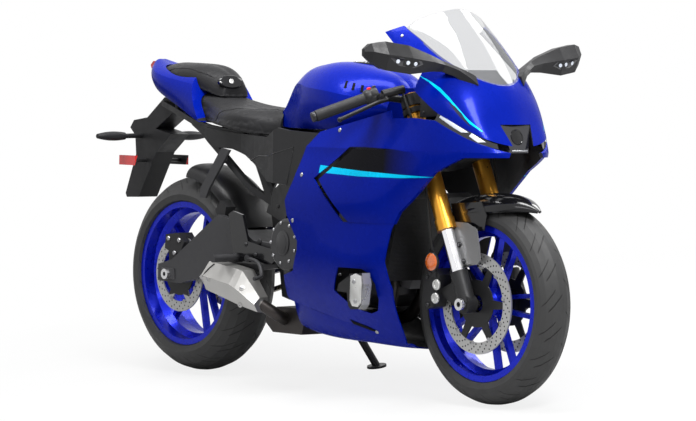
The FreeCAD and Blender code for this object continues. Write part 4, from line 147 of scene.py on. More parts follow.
def length_of(nt, a, b):
    squares = [calc(nt, "MULTIPLY", v, v) for v in (a, b)]
    return calc(nt, "SQRT", calc(nt, "ADD", *squares))


def noise_of(nt, scale, detail=3):
    tex = node(nt, "ShaderNodeTexNoise")
    fit(tex, Scale=scale, Detail=detail)
    nt.links.new(object_coords(nt), tex.inputs["Vector"])
    return tex.outputs[0]


def bump_with(nt, bsdf, height, strength, distance):
    bump = node(nt, "ShaderNodeBump")
    fit(bump, Strength=strength, Distance=distance)
    nt.links.new(height, bump.inputs["Height"])
    nt.links.new(bump.outputs[0], bsdf.inputs["Normal"])


def spread_of(nt, value, low, high, start=0.3, end=0.7):
    """A value's range from start to end, spread from low to high."""
    ramp = node(nt, "ShaderNodeMapRange")
    fit(ramp, From_Min=start, From_Max=end, To_Min=low, To_Max=high)
    nt.links.new(value, ramp.inputs["Value"])
    return ramp.outputs[0]


def mix_colour(nt, fac, a, b):
    m = node(nt, "ShaderNodeMix", data_type="RGBA")
    for i, v in ((MIX_FACTOR, fac), (MIX_A, a), (MIX_B, b)):
        put(nt, m.inputs[i], v)
    return m.outputs[MIX_RESULT]


def coloured(nt, bsdf, fac, a, b):
    nt.links.new(mix_colour(nt, fac, a, b), bsdf.inputs["Base Color"])


def rough(nt, bsdf, scale, low, high):
    """A roughness that wanders between two values."""
    nt.links.new(spread_of(nt, noise_of(nt, scale), low, high), bsdf.inputs["Roughness"])


def brighter(colour, times, more=0.0):
    return tuple(min(1, c * times + more) for c in colour[:3]) + (1,)


def simple(name, colour, roughness, metallic=0.0, second=None, scale=60, bump=0.0,
           bump_scale=300, coat=0.0, spread=0.08, distance=0.0005, shine=0.22):
    """A finish whose colour and roughness wander, with a fine grain."""
    mat, nt, b = clean(name)
    coloured(nt, b, noise_of(nt, scale), colour, second or brighter(colour, LIGHTER, 0.001))
    fit(b, Metallic=metallic, Specular_IOR_Level=shine)
    rough(nt, b, scale * 0.7, max(0.02, roughness - spread), roughness + spread)
    if coat:
        fit(b, Coat_Weight=coat, Coat_Roughness=0.04)
    if bump:
        bump_with(nt, b, noise_of(nt, bump_scale), bump, distance)
    return mat


def curve_of(nt, value, points):
    """A height in metres that follows (along, height) points in millimetres."""
    room = 1  # the curve's range reaches this far past its points
    xs, zs = [p[0] for p in points], [p[1] for p in points]
    x0, x1, z0, z1 = min(xs), max(xs), min(zs) - room, max(zs) + room
    past = calc(nt, "SUBTRACT", value, x0 / MM)
    unit = calc(nt, "DIVIDE", past, (x1 - x0) / MM, clamp=True)
    curve = node(nt, "ShaderNodeFloatCurve")
    line = curve.mapping.curves[0]
    while len(line.points) < len(points):
        line.points.new(0.5, 0.5)
    for p, (x, z) in zip(line.points, sorted(points)):
        p.location = ((x - x0) / (x1 - x0), (z - z0) / (z1 - z0))
        p.handle_type = "VECTOR"
    curve.mapping.update()
    nt.links.new(unit, curve.inputs["Value"])
    return calc(nt, "ADD", calc(nt, "MULTIPLY", curve.outputs[0], (z1 - z0) / MM), z0 / MM)


def over(nt, value, limit, soft):
    """1 where the value is past the limit, with a soft edge as wide as given."""
    share = calc(nt, "DIVIDE", calc(nt, "SUBTRACT", value, limit), soft)
    return calc(nt, "ADD", share, 0.5, clamp=True)


def band(nt, where, upper, lower, soft):
    """1 between two lines of the side view, given as (along, height) in millimetres."""
    top = over(nt, curve_of(nt, where[ALONG], upper), where[HEIGHT], soft)
    low = over(nt, where[HEIGHT], curve_of(nt, where[ALONG], lower), soft)
    ends = [p[0] for p in upper + lower]
    start = over(nt, where[ALONG], min(ends) / MM, soft)
    stop = over(nt, max(ends) / MM, where[ALONG], soft)
    return calc(nt, "MULTIPLY", calc(nt, "MULTIPLY", top, low), calc(nt, "MULTIPLY", start, stop))


BLUE, BLUE_2 = (0.0002, 0.0075, 0.22, 1), (0.0003, 0.0095, 0.26, 1)
CYAN = (0.0, 0.52, 0.82, 1)
INK = (0.003, 0.003, 0.005, 1)
SMOKE = (0.02, 0.02, 0.045, 1)


def paint(name, marks=()):
    """Glossy blue paint, with flat coloured areas laid over it.

    A mark is its colour, upper line, lower line, soft edge and where it fades out.
    """
    mat, nt, b = clean(name)
    colour = mix_colour(nt, noise_of(nt, 9), BLUE, BLUE_2)
    if marks:
        where = machine_coords(nt)
        for tint, upper, lower, soft, fade in marks:
            mask = band(nt, where, upper, lower, soft)
            if fade:
                start, stop = fade
                gone = over(nt, (start + stop) / 2 / MM, where[ALONG], (stop - start) / MM)
                mask = calc(nt, "MULTIPLY", mask, gone)
            colour = mix_colour(nt, mask, colour, tint)
    nt.links.new(colour, b.inputs["Base Color"])
    fit(b, Metallic=0.16, Specular_IOR_Level=0.04, Coat_Weight=0.06, Coat_Roughness=0.03)
    rough(nt, b, 30, 0.24, 0.3)
    bump_with(nt, b, noise_of(nt, 1400, 1), 0.02, 0.0002)
    return mat


COWL_MARKS = (
    (CYAN,
     [(1262, 971), (1277, 965), (1309, 951), (1344, 931), (1375, 905), (1405, 874), (1434, 842),
      (1470, 807)],
     [(1262, 970), (1280, 961), (1312, 944), (1348, 919), (1382, 891), (1413, 859), (1441, 828),
      (1470, 806)],
     0.0008, None),
    (SMOKE, [(1379, 890), (1397, 878), (1417, 858), (1443, 822)],
     [(1379, 888), (1400, 864), (1418, 844), (1443, 820)], 0.002, None),
)
WING_MARKS = (
    (INK,
     [(860, 690), (900, 690), (986, 750), (1060, 751), (1180, 748), (1255, 741), (1325, 700)],
     [(860, 676), (900, 676), (986, 672), (1060, 668), (1180, 664), (1255, 662), (1325, 660)],
     0.002, (1150, 1300)),
    (CYAN, [(860, 692), (912, 689), (1056, 681), (1216, 674), (1328, 670)],
     [(860, 669), (912, 669), (1056, 664), (1216, 664), (1328, 669)], 0.0008, None),
)
# two families of tyre grooves: turn, lean, bend, first and last share of the half width, line width
GROOVES = ((0.0, 11.0, 60.0, 0.10, 0.72, 0.030), (0.52, 14.0, 40.0, 0.42, 0.92, 0.024))


def tyre_rubber(name, axle, half, count):
    """Rubber with slanted curved grooves round the crown: half the tyre's width in millimetres
    and how many grooves go round."""
    mat, nt, b = clean(name)
    where = machine_coords(nt)
    dx, dz = from_axle(nt, where, axle)
    turn = calc(nt, "MULTIPLY", calc(nt, "ARCTAN2", dz, dx), count / math.tau)
    off = calc(nt, "ABSOLUTE", where[ACROSS])
    flank = calc(nt, "MULTIPLY", over(nt, where[ACROSS], 0.0, 0.0001), 0.5)
    grooves = None
    for shift, lean, bend, low, high, width in GROOVES:
        slide = calc(nt, "ADD", calc(nt, "MULTIPLY", off, lean),
                     calc(nt, "MULTIPLY", calc(nt, "MULTIPLY", off, off), bend))
        phase = calc(nt, "ADD", calc(nt, "ADD", turn, slide), flank)
        phase = calc(nt, "FRACT", calc(nt, "ADD", phase, shift + GROOVE_TURNS))
        line = over(nt, width, calc(nt, "ABSOLUTE", calc(nt, "SUBTRACT", phase, 0.5)), 0.008)
        line = calc(nt, "MULTIPLY", line, over(nt, off, half * low / MM, 0.004))
        line = calc(nt, "MULTIPLY", line, over(nt, half * high / MM, off, 0.004))
        grooves = line if grooves is None else calc(nt, "MAXIMUM", grooves, line)
    base = mix_colour(nt, noise_of(nt, 24), (0.027, 0.027, 0.0275, 1), (0.036, 0.036, 0.0365, 1))
    # The grooves are painted near black over the rubber: painted shade in the grooves.
    coloured(nt, b, grooves, base, (0.004, 0.004, 0.004, 1))
    rough(nt, b, 40, 0.5, 0.66)
    fit(b, Specular_IOR_Level=0.3)
    grain = calc(nt, "MULTIPLY", noise_of(nt, 900), 0.12)
    bump_with(nt, b, calc(nt, "SUBTRACT", grain, grooves), 0.9, 0.0012)
    return mat


def lined(name, colour, second, pitch, axis, roughness, metallic):
    """A surface of fine parallel ribs, such as radiator fins or chain links, a pitch in metres
    apart. The gaps between ribs take the second, darker colour: painted shade between the ribs."""
    mat, nt, b = clean(name)
    steps = calc(nt, "DIVIDE", machine_coords(nt)[axis], pitch)
    rib = over(nt, calc(nt, "FRACT", calc(nt, "ADD", steps, WHOLE_TURNS)), 0.45, 0.15)
    # The ribs take the colour and the gaps the darker second colour, as painted shade.
    coloured(nt, b, rib, mix_colour(nt, noise_of(nt, 70), second, brighter(second, 1.3)), colour)
    rough(nt, b, 50, max(0.05, roughness - 0.08), roughness + 0.08)
    fit(b, Metallic=metallic)
    bump_with(nt, b, rib, 0.5, 0.0008)
    return mat


def leather(name, colour, second):
    """Seat vinyl: fine pebbled grain, soft sheen."""
    mat, nt, b = clean(name)
    cell = node(nt, "ShaderNodeTexVoronoi")
    fit(cell, Scale=700)
    nt.links.new(object_coords(nt), cell.inputs["Vector"])
    coloured(nt, b, noise_of(nt, 14), colour, second)
    rough(nt, b, 60, 0.42, 0.58)
    fit(b, Sheen_Weight=0.03, Specular_IOR_Level=0.15)
    bump_with(nt, b, calc(nt, "ADD", cell.outputs["Distance"], noise_of(nt, 90)), 0.35, 0.0005)
    return mat


def clear_screen():
    mat, nt, b = clean("screen_clear")
    coloured(nt, b, noise_of(nt, 3), (0.16, 0.165, 0.175, 1), (0.2, 0.205, 0.215, 1))
    fit(b, Alpha=0.3, Coat_Weight=0.15, Coat_Roughness=0.02)
    rough(nt, b, 12, 0.03, 0.07)
    return mat


def glow(name, colour, strength, second=None):
    """A lit lamp element, or a part whose faint glow is a painted reflection."""
    mat, nt, b = clean(name)
    coloured(nt, b, noise_of(nt, 200), colour, second or colour)
    fit(b, Emission_Color=colour, Emission_Strength=strength, Coat_Weight=1.0)
    rough(nt, b, 300, 0.08, 0.2)
    return mat


def drilled(name, axle, rows):
    """Disc steel with rows of small holes painted near black, as painted shade in the holes: rows
    of (radius, hole count, turn) in millimetres.
    """
    mat, nt, b = clean(name)
    dx, dz = from_axle(nt, machine_coords(nt), axle)
    turn, away = calc(nt, "ARCTAN2", dz, dx), length_of(nt, dx, dz)
    holes = None
    for radius, count, shift in rows:
        part = calc(nt, "MULTIPLY", turn, count / math.tau)
        part = calc(nt, "FRACT", calc(nt, "ADD", part, shift + WHOLE_TURNS))
        arc = calc(nt, "MULTIPLY", calc(nt, "SUBTRACT", part, 0.5), math.tau * radius / MM / count)
        gap = length_of(nt, arc, calc(nt, "SUBTRACT", away, radius / MM))
        hole = over(nt, 0.0027, gap, 0.0008)
        holes = hole if holes is None else calc(nt, "MAXIMUM", holes, hole)
    base = mix_colour(nt, noise_of(nt, 120), (0.36, 0.36, 0.355, 1), (0.42, 0.42, 0.415, 1))
    # The holes are painted near black: painted shade where the holes are.
    coloured(nt, b, holes, base, (0.01, 0.01, 0.012, 1))
    rough(nt, b, 90, 0.32, 0.42)
    fit(b, Metallic=0.7)
    bump_with(nt, b, calc(nt, "SUBTRACT", 1.0, holes), 0.8, 0.001)
    return mat


# plain finishes: colour, roughness, metallic, and what else simple() takes
PLAIN = {
    "rim_blue": ((0.0006, 0.010, 0.42, 1), 0.3, 0.55, dict(coat=0.1, bump=0.03, bump_scale=900)),
    "disc_steel": ((0.55, 0.55, 0.54, 1), 0.3, 0.95, dict(bump=0.15, bump_scale=500)),
    "bright_steel": ((0.6, 0.6, 0.61, 1), 0.25, 1.0, dict(bump=0.05)),
    "gold_anodised": ((0.6, 0.28, 0.035, 1), 0.3, 0.9,
                      dict(bump=0.02, bump_scale=900, distance=0.0001, spread=0.03)),
    "chrome_steel": ((0.82, 0.82, 0.84, 1), 0.06, 1.0, dict(spread=0.02)),
    "black_metal": ((0.014, 0.014, 0.015, 1), 0.38, 0.1, dict(bump=0.1, bump_scale=700)),
    "grip_rubber": ((0.016, 0.016, 0.017, 1), 0.6, 0.0, dict(bump=0.4, bump_scale=260)),
    "hose_rubber": ((0.01, 0.01, 0.01, 1), 0.45, 0.0, dict(bump=0.1)),
    "dark_aluminium": ((0.045, 0.045, 0.048, 1), 0.42, 0.5, dict(bump=0.2, bump_scale=420)),
    "cover_grey": ((0.05, 0.05, 0.052, 1), 0.38, 0.6, dict(bump=0.15, bump_scale=500)),
    "header_steel": ((0.055, 0.048, 0.044, 1), 0.4, 0.8,
                     dict(second=(0.032, 0.03, 0.031, 1), scale=8, bump=0.1)),
    "silencer_steel": ((0.36, 0.355, 0.345, 1), 0.36, 0.85,
                       dict(bump=0.02, bump_scale=900, distance=0.0001, spread=0.03)),
    "black_plastic": ((0.012, 0.012, 0.013, 1), 0.42, 0.0, dict(bump=0.25, bump_scale=900)),
    "gloss_black": ((0.004, 0.004, 0.005, 1), 0.14, 0.0,
                    dict(coat=0.35, spread=0.03, bump=0.02, bump_scale=900)),
    "grey_plastic": ((0.14, 0.14, 0.15, 1), 0.45, 0.0, dict(bump=0.1)),
    "lamp_lens": ((0.008, 0.008, 0.012, 1), 0.08, 0.0, dict(coat=1.0, spread=0.02)),
    "lamp_white": ((0.75, 0.77, 0.8, 1), 0.12, 0.0, dict(coat=1.0, spread=0.03)),
    "lamp_red": ((0.35, 0.004, 0.006, 1), 0.15, 0.0, dict(coat=1.0, spread=0.03)),
    "reflector_red": ((0.5, 0.006, 0.006, 1), 0.2, 0.0,
                      dict(coat=1.0, bump=0.3, bump_scale=500)),
}
mats = {name: simple(name, *row, **more) for name, (*row, more) in PLAIN.items()}
mats.update(
    blue_paint=paint("paint_blue"),
    tyre=tyre_rubber("tyre_rubber", REAR_AXLE, 89, 22),
    # The second colour of the radiator core and of the chain fills the gaps between ribs: painted
    # shade.
    radiator_black=lined("radiator_core", (0.02, 0.02, 0.021, 1), (0.006, 0.006, 0.006, 1), 0.004,
                         HEIGHT, 0.45, 0.3),
    chain_steel=lined("chain_steel", (0.32, 0.27, 0.17, 1), (0.05, 0.045, 0.035, 1), 0.0159,
                      ALONG, 0.4, 0.9),
    seat_cover=leather("seat_cover", (0.008, 0.008, 0.009, 1), (0.014, 0.014, 0.015, 1)),
    screen_clear=clear_screen())
COWL_PAINT = paint("paint_blue_cowl", COWL_MARKS)
WING_PAINT = paint("paint_blue_wing", WING_MARKS)
# The amber front reflectors are no lamps: their faint glow is a painted reflection.
AMBER_PAINTED_GLOW = glow("reflector_amber_painted_glow", (0.8, 0.16, 0.005, 1), 0.05, (0.35, 0.05, 0.0, 1))
LED = glow("led_white", (0.62, 0.66, 0.74, 1), 0.12, (0.5, 0.54, 0.6, 1))
LED_TUBE = simple("led_reflector", (0.45, 0.47, 0.5, 1), 0.18, 0.8, coat=1.0, bump=0.4,
                  bump_scale=220)
TAIL_GLOW = glow("led_red", (0.8, 0.02, 0.015, 1), 0.25, (0.5, 0.01, 0.01, 1))
RED_SWITCH = simple("switch_red", (0.6, 0.012, 0.01, 1), 0.35)
GLASS = simple("mirror_glass", (0.7, 0.72, 0.75, 1), 0.03, 1.0, spread=0.01)
DISPLAY = simple("display_glass", (0.012, 0.014, 0.018, 1), 0.06, coat=1.0, spread=0.02)
BOLT = simple("bolt_steel", (0.3, 0.3, 0.31, 1), 0.3, 1.0, bump=0.1)
BOLT_BLACK = simple("bolt_black", (0.03, 0.03, 0.032, 1), 0.35, 0.6, bump=0.1)
GUARD = simple("guard_grey", (0.16, 0.16, 0.162, 1), 0.4, 0.2, bump=0.15, bump_scale=800)
CAST = simple("cast_black", (0.02, 0.02, 0.021, 1), 0.42, 0.3, bump=0.3, bump_scale=500)
SCREEN_EDGE = simple("screen_edge", (0.03, 0.03, 0.035, 1), 0.25, bump=0.05)
SILVER = simple("cap_silver", (0.5, 0.5, 0.49, 1), 0.32, 0.8, bump=0.12, bump_scale=700)
# Near-black slabs on the vents and tank louvres: painted shade in the openings.
RECESS_SHADE = simple("recess_painted_shade", (0.003, 0.003, 0.0035, 1), 0.7, bump=0.05, shine=0.05)
WELT = leather("seat_welt", (0.006, 0.006, 0.007, 1), (0.011, 0.011, 0.012, 1))
PLASTIC, METAL, GLOSS = mats["black_plastic"], mats["black_metal"], mats["gloss_black"]
FRONT_RING = drilled("disc_drilled_front", FRONT_AXLE,
                     ((119, 30, 0.0), (127, 30, 0.33), (135, 30, 0.66), (142, 30, 0.0)))
REAR_RING = drilled("disc_drilled_rear", REAR_AXLE,
                    ((96, 24, 0.0), (106, 24, 0.4), (115, 24, 0.8)))
# nodes whose finish isn't their slot's own
SPECIAL = {
    "front_tyre": tyre_rubber("tyre_rubber_front", FRONT_AXLE, 60, 20),
    "upper_cowl": COWL_PAINT, "fairing_upper_left": WING_PAINT, "fairing_upper_right": WING_PAINT,
    "front_disc_left": FRONT_RING, "front_disc_right": FRONT_RING, "rear_disc": REAR_RING,
    "slider_covers": PLASTIC, "running_lamps": mats["lamp_lens"],
}
slots = {s["node"]: s["material_slot"] for s in record["subparts"]}
for name, obj in nodes.items():
    obj.data.materials.clear()
    obj.data.materials.append(SPECIAL.get(name, mats[slots[name]]))

# Helpers for the dressing: lines are cast at a node's surface, and pieces are set where they land
trees = {}
SHARP = math.radians(40)  # edges sharper than this are not smoothed
SCREW_SUNK = 0.0015  # a screw's shank starts this far under the surface, in metres
BEAD_SIDE = Vector((0.13, 0.21, 0.97))  # no bead runs along this direction
RIBBON_SIDES = 6  # points of a ribbon's section


def tree_of(mesh):
    return BVHTree.FromPolygons([v.co.copy() for v in mesh.vertices],
                                [tuple(p.vertices) for p in mesh.polygons])


def skin(name):
    """A ray-casting tree of a CAD node's surface, in the model's frame."""
    if name not in trees:
        trees[name] = tree_of(nodes[name].data)
    return trees[name]


def land(name, start, toward):
    """Where a line from a point of the machine first meets a node, and the outward normal."""
    where, normal, _, _ = skin(name).ray_cast(at(*start), way(*toward))
    if where is None:
        return None, None
    if normal.dot(way(*toward)) > 0:
        normal = -normal
    return where, normal


def drape(name, points, toward, lift=0.0, far=300.0):
    """Points of a line laid on a node, each sent along a direction until it meets the surface."""
    found = []
    for p in points:
        where, normal = land(name, Vector(p) - Vector(toward) * far, toward)
        if where is not None:
            found.append(where + normal * (lift / MM))
    return found


def between(points, step):
    """The corners of a line with points added at an even step, in millimetres."""
    rows = []
    for a, b in zip(points, points[1:]):
        a, b = Vector(a), Vector(b)
        count = max(1, int((b - a).length / step))
        rows += [a.lerp(b, i / count) for i in range(count)]
    return rows + [Vector(points[-1])]


def round_of(count, start=0.0):
    """Angles spread evenly over one turn."""
    return [math.tau * k / count + start for k in range(count)]


def circle(centre, side, other, radius, steps):
    return [centre + (side * math.cos(a) + other * math.sin(a)) * (radius / MM)
            for a in round_of(steps)]


def oval(centre, across, rise, wide, high, steps):
    """Points of an oval of half sizes in metres."""
    return [centre + across * (wide * math.cos(a)) + rise * (high * math.sin(a))
            for a in round_of(steps)]


def finish_by(name, material, rule):
    """A second finish on the faces of a CAD node that a rule of (centre, normal) picks."""
    mesh = nodes[name].data
    mesh.materials.append(material)
    index = len(mesh.materials) - 1
    for p in mesh.polygons:
        if rule(LEVEL @ p.center * MM, LEVEL3 @ p.normal):
            p.material_index = index


def add_object(name, mesh):
    obj = bpy.data.objects.new(name, mesh)
    scene.collection.objects.link(obj)
    return obj


class Pile:
    """Loose shapes gathered into one mesh, with a material number for each face.

    Sizes are in millimetres, and places are points of the model.
    """

    def __init__(self):
        self.verts, self.faces, self.kinds = [], [], []

    def add(self, verts, faces, kind):
        start = len(self.verts)
        self.verts += [tuple(v) for v in verts]
        self.faces += [tuple(start + i for i in f) for f in faces]
        self.kinds += [kind] * len(faces)

    def stack(self, rings, kind):
        """Rings of points joined in order, with both ends closed."""
        n = len(rings[0])
        faces = [(k * n + i, k * n + (i + 1) % n, (k + 1) * n + (i + 1) % n, (k + 1) * n + i)
                 for k in range(len(rings) - 1) for i in range(n)]
        last = (len(rings) - 1) * n
        faces += [tuple(range(last, last + n)), tuple(reversed(range(n)))]
        self.add([p for ring in rings for p in ring], faces, kind)

    def turned(self, place, axis, profile, steps=20, kind=0):
        """A form turned about an axis: the profile is rows of (radius, height)."""
        axis = axis.normalized()
        side = axis.orthogonal().normalized()
        other = axis.cross(side)
        self.stack([circle(place + axis * (h / MM), side, other, r, steps) for r, h in profile],
                   kind)

    def slab(self, outline, out, thick, kind=0, sink=1.0, chamfer=0.6, shrink=0.94):
        """A thin plate over an outline, raised along a direction, its top edge chamfered."""
        out = out.normalized()
        middle = sum(outline, Vector()) / len(outline)
        rows = ((-sink, 1.0), (thick - chamfer, 1.0), (thick, shrink))
        self.stack([[middle + (p - middle) * scale + out * (h / MM) for p in outline]
                    for h, scale in rows], kind)

    def pipe(self, points, radius, kind=0, sides=8):
        """A round bead along points, its ends closed."""
        rings = []
        for i, p in enumerate(points):
            before, after = points[max(0, i - 1)], points[min(len(points) - 1, i + 1)]
            run = (after - before).normalized()
            side = run.cross(BEAD_SIDE).normalized()
            rings.append(circle(p, side, run.cross(side), radius, sides))
        self.stack(rings, kind)

    def ribbon(self, one, other, thick, outward, kind=0):
        """A raised strip between two rows of points that lie on a surface."""
        verts, faces = [], []
        n, sides = len(one), RIBBON_SIDES
        for i, (p, q) in enumerate(zip(one, other)):
            run = one[min(n - 1, i + 1)] - one[max(0, i - 1)]
            lift = run.cross(q - p).normalized() * (thick / MM)
            if lift.dot(outward) < 0:
                lift = -lift
            inset = (q - p) * 0.12
            verts += [p - lift, p + lift * 0.6, p + inset + lift, q - inset + lift,
                      q + lift * 0.6, q - lift]
        for i in range(n - 1):
            for a in range(i * sides, i * sides + sides - 1):
                faces.append((a, a + 1, a + sides + 1, a + sides))
        last = (n - 1) * sides
        faces += [tuple(reversed(range(sides))), tuple(range(last, last + sides))]
        self.add(verts, faces, kind)

    def screw(self, place, axis, radius, height, kind=0):
        """A button-head screw with a hexagon recess."""
        lip = 1.5  # the head's top is worked out from here, as its shank is sunk
        self.turned(place - axis.normalized() * SCREW_SUNK, axis,
                    ((radius, 0), (radius, lip + height * 0.35),
                     (radius * 0.82, lip + height * 0.8), (radius * 0.5, lip + height)), 20, kind)
        self.turned(place, axis, ((radius * 0.5, height * 0.3), (radius * 0.42, height + 0.1)),
                    6, kind)

    def screw_on(self, name, start, toward, radius, height, kind=0, axis=None, least=None):
        """A screw where a line meets a node, unless it misses or meets it too steeply."""
        spot, out = land(name, start, toward)
        if spot is not None and (least is None or -out.dot(way(*toward)) > least):
            self.screw(spot, axis or out, radius, height, kind)

    def make(self, name, body, materials, slot):
        """The pile as one piece that rides on a body, finished with the given materials; the slot
        is not used.
        """
        mesh = bpy.data.meshes.new(name)
        mesh.from_pydata(self.verts, [], self.faces)
        bm = bmesh.new()
        bm.from_mesh(mesh)
        bmesh.ops.recalc_face_normals(bm, faces=bm.faces)
        bm.to_mesh(mesh)
        bm.free()
        for m in materials:
            mesh.materials.append(m)
        for p, kind in zip(mesh.polygons, self.kinds):
            p.material_index = kind
            p.use_smooth = True
        mesh.set_sharp_from_angle(angle=SHARP)
        obj = add_object(name, mesh)
        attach(obj, body)


# Second finishes on the CAD nodes
for _, side in BOTH:
    for level in ("upper", "lower"):
        finish_by("fairing_%s_%s" % (level, side), PLASTIC,
                  lambda c, n: n.y * (1 if c.y > 0 else -1) < -0.2)
    finish_by("front_disc_" + side, METAL,
              lambda c, n: math.hypot(c.x - FRONT_AXLE[0], c.z - FRONT_AXLE[1]) < 110)
for name, finish, rule in (
        ("belly_pan", PLASTIC, lambda c, n: n.y * c.y + n.z * (c.z - 300) < -20),
        ("upper_cowl", PLASTIC, lambda c, n: (c - Vector((1150, 0, 870))).dot(n) < 0),
        ("tail_cowl", PLASTIC, lambda c, n: n.y * c.y + n.z * (c.z - 850) < -15),
        ("fork_sliders", CAST, lambda c, n: c.z < 396),
        ("rear_disc", METAL, lambda c, n: math.hypot(c.x, c.z - REAR_AXLE[1]) < 76),
        ("windscreen", SCREEN_EDGE,
         lambda c, n: abs(n.dot(Vector((0.72, 0.75 * c.y / 161, 0.6)).normalized())) < 0.42),
        ("muffler", mats["header_steel"], lambda c, n: c.x > 543),
        ("rider_footrests", GLOSS, lambda c, n: abs(c.y) < 166),
        ("front_fender", GUARD, lambda c, n: abs(c.y) > 83 and c.z < 536),
        ("rear_reflectors", PLASTIC, lambda c, n: abs(c.y) < 105),
        ("slider_covers", SILVER, lambda c, n: n.x > 0.7 and c.x > 1060)):
    finish_by(name, finish, rule)

FLANK, LEGS, NEAR = 400, 300, 100  # lines are cast at a side from this far out

# Wheels and brakes
BUTTON = ((6.5, -1), (6.5, 1.6), (5.4, 2.4), (3.0, 2.4), (2.6, 1.2))
REAR_BUTTON = ((6, -1), (6, 1.6), (5, 2.4), (2.8, 2.4), (2.4, 1.2))
DISC_BOLTS, REAR_DISC_BOLTS = 10, 8
BOLT_RING, REAR_BOLT_RING = 116, 92
buttons = Pile()
for s, side in BOTH:
    for a in round_of(DISC_BOLTS, 0.18):
        start = (FRONT_AXLE[0] + BOLT_RING * math.cos(a), s * LEGS,
                 FRONT_AXLE[1] + BOLT_RING * math.sin(a))
        spot, _ = land("front_disc_" + side, start, (0, -s, 0))
        if spot is not None:
            buttons.turned(spot, way(0, s, 0), BUTTON, 16)
buttons.make("front_disc_buttons", "front_wheel", [BOLT], "disc_steel")
buttons = Pile()
for a in round_of(REAR_DISC_BOLTS, 0.3):
    start = (REAR_BOLT_RING * math.cos(a), -LEGS, REAR_AXLE[1] + REAR_BOLT_RING * math.sin(a))
    spot, _ = land("rear_disc", start, (0, 1, 0))
    if spot is not None:
        buttons.turned(spot, RIGHTWARD, REAR_BUTTON, 16)
buttons.make("rear_disc_buttons", "rear_wheel", [BOLT], "disc_steel")

GUARD_SCREWS = ((1340, 472), (1359, 423))
CALIPER_CAPS = ((1279, 351), (1274, 311))
CALIPER_CAP = ((16, -1), (16, 3), (14, 5), (9, 5), (8.4, 3), (4, 3))
CALIPER_SCREWS = ((1236, 372), (1240, 290), (1250, 384))
BRACKET = ((1259, 372), (1277, 372), (1277, 424), (1259, 424))
REFLECTOR = (1267, 418)
REFLECTOR_RIM = ((26, 0), (28.5, 3), (28.5, 8), (27, 9.6), (25, 9.6))
REFLECTOR_LENS = ((25.4, 0), (25.4, 1.8), (24, 3), (12, 3.5), (1, 3.6))
GUARD_OUT, CALIPER_OUT, RIM_OUT, LENS_OUT = 88, 122, 125.5, 133.5  # from the middle
fork_bits, lens = Pile(), Pile()
for s, _ in BOTH:
    out = way(0, s, 0)
    for x, z in GUARD_SCREWS:
        fork_bits.screw(at(x, s * GUARD_OUT, z), out, 8, 5)
    for x, z in CALIPER_CAPS:
        fork_bits.turned(at(x, s * CALIPER_OUT, z), out, CALIPER_CAP, 24, 1)
    for x, z in CALIPER_SCREWS:
        fork_bits.screw_on("front_calipers", (x, s * LEGS, z), (0, -s, 0), 6.5, 5, axis=out)
    fork_bits.slab([at(x, s * CALIPER_OUT, z) for x, z in BRACKET], out, 4)
    fork_bits.turned(at(REFLECTOR[0], s * RIM_OUT, REFLECTOR[1]), out, REFLECTOR_RIM, 32)
    lens.turned(at(REFLECTOR[0], s * LENS_OUT, REFLECTOR[1]), out, REFLECTOR_LENS, 32)
fork_bits.make("fork_fittings", "steering", [BOLT_BLACK, SILVER], "black_metal")
lens.make("front_reflectors", "steering", [AMBER_PAINTED_GLOW], "reflector_red")

# Slider blocks, fairing fasteners and vents
BLOCK = ((1036, 296), (1048, 279), (1074, 277), (1089, 292), (1091, 350), (1087, 370),
         (1062, 376), (1040, 368))
BLOCK_SCREWS = ((1060, 352), (1068, 294))
BLOCK_OUT, BLOCK_THICK = 248, 9
sliders = Pile()
for s, _ in BOTH:
    sliders.slab([at(x, s * BLOCK_OUT, z) for x, z in BLOCK], way(0, s, 0), BLOCK_THICK,
                 chamfer=4.0, shrink=0.84)
    for x, z in BLOCK_SCREWS:
        sliders.screw(at(x, s * (BLOCK_OUT + BLOCK_THICK), z), way(0, s, 0), 7.5, 3, 1)
sliders.make("slider_blocks", "root", [SILVER, BOLT], "silencer_steel")

UPPER_SCREWS = ((916, 798), (779, 660), (742, 520))
LOWER_SCREWS = ((1017, 194), (742, 440), (690, 262))
COWL_SCREWS = ((1172, 1082), (1290, 1000))
screws = Pile()
for s, side in BOTH:
    for name, places, radius, height in (("fairing_upper_" + side, UPPER_SCREWS, 6.5, 3),
                                         ("fairing_lower_" + side, LOWER_SCREWS, 6.5, 3),
                                         ("upper_cowl", COWL_SCREWS, 5, 2.5)):
        for x, z in places:
            screws.screw_on(name, (x, s * FLANK, z), (0, -s, 0), radius, height)
screws.make("fairing_screws", "root", [BOLT], "black_metal")

VENTS = (((757, 258), (840, 245), (915, 229), (903, 221), (830, 231), (764, 245)),
         ((925, 227), (990, 210), (1020, 198), (1006, 195), (930, 214)))
TANK_LOUVRES = ((868, 946), (896, 940), (924, 934))
TANK_LOUVRE = ((0, 0), (8, -1), (16, -22), (8, -22))
# The vents and tank louvres are thin near-black slabs laid on the panels: painted shade where the
# openings are.
dark = Pile()
for s, side in BOTH:
    for outline in VENTS:
        spots = drape("fairing_lower_" + side, [(x, s * NEAR, z) for x, z in outline],
                      (0, -s, 0), 0.8)
        if len(spots) == len(outline):
            dark.slab(spots, way(0, s, 0), 0.9, sink=1.6, chamfer=0.3, shrink=0.97)
    for x, z in TANK_LOUVRES:
        spots = drape("fuel_tank", [(x + dx, s * NEAR, z + dz) for dx, dz in TANK_LOUVRE],
                      (0, -s, 0), 0.2)
        if len(spots) == len(TANK_LOUVRE):
            dark.slab(spots, way(0.1, s, 0.45), 0.8, sink=1.4, chamfer=0.2, shrink=0.96)
dark.make("vent_painted_shade", "root", [RECESS_SHADE], "gloss_black")

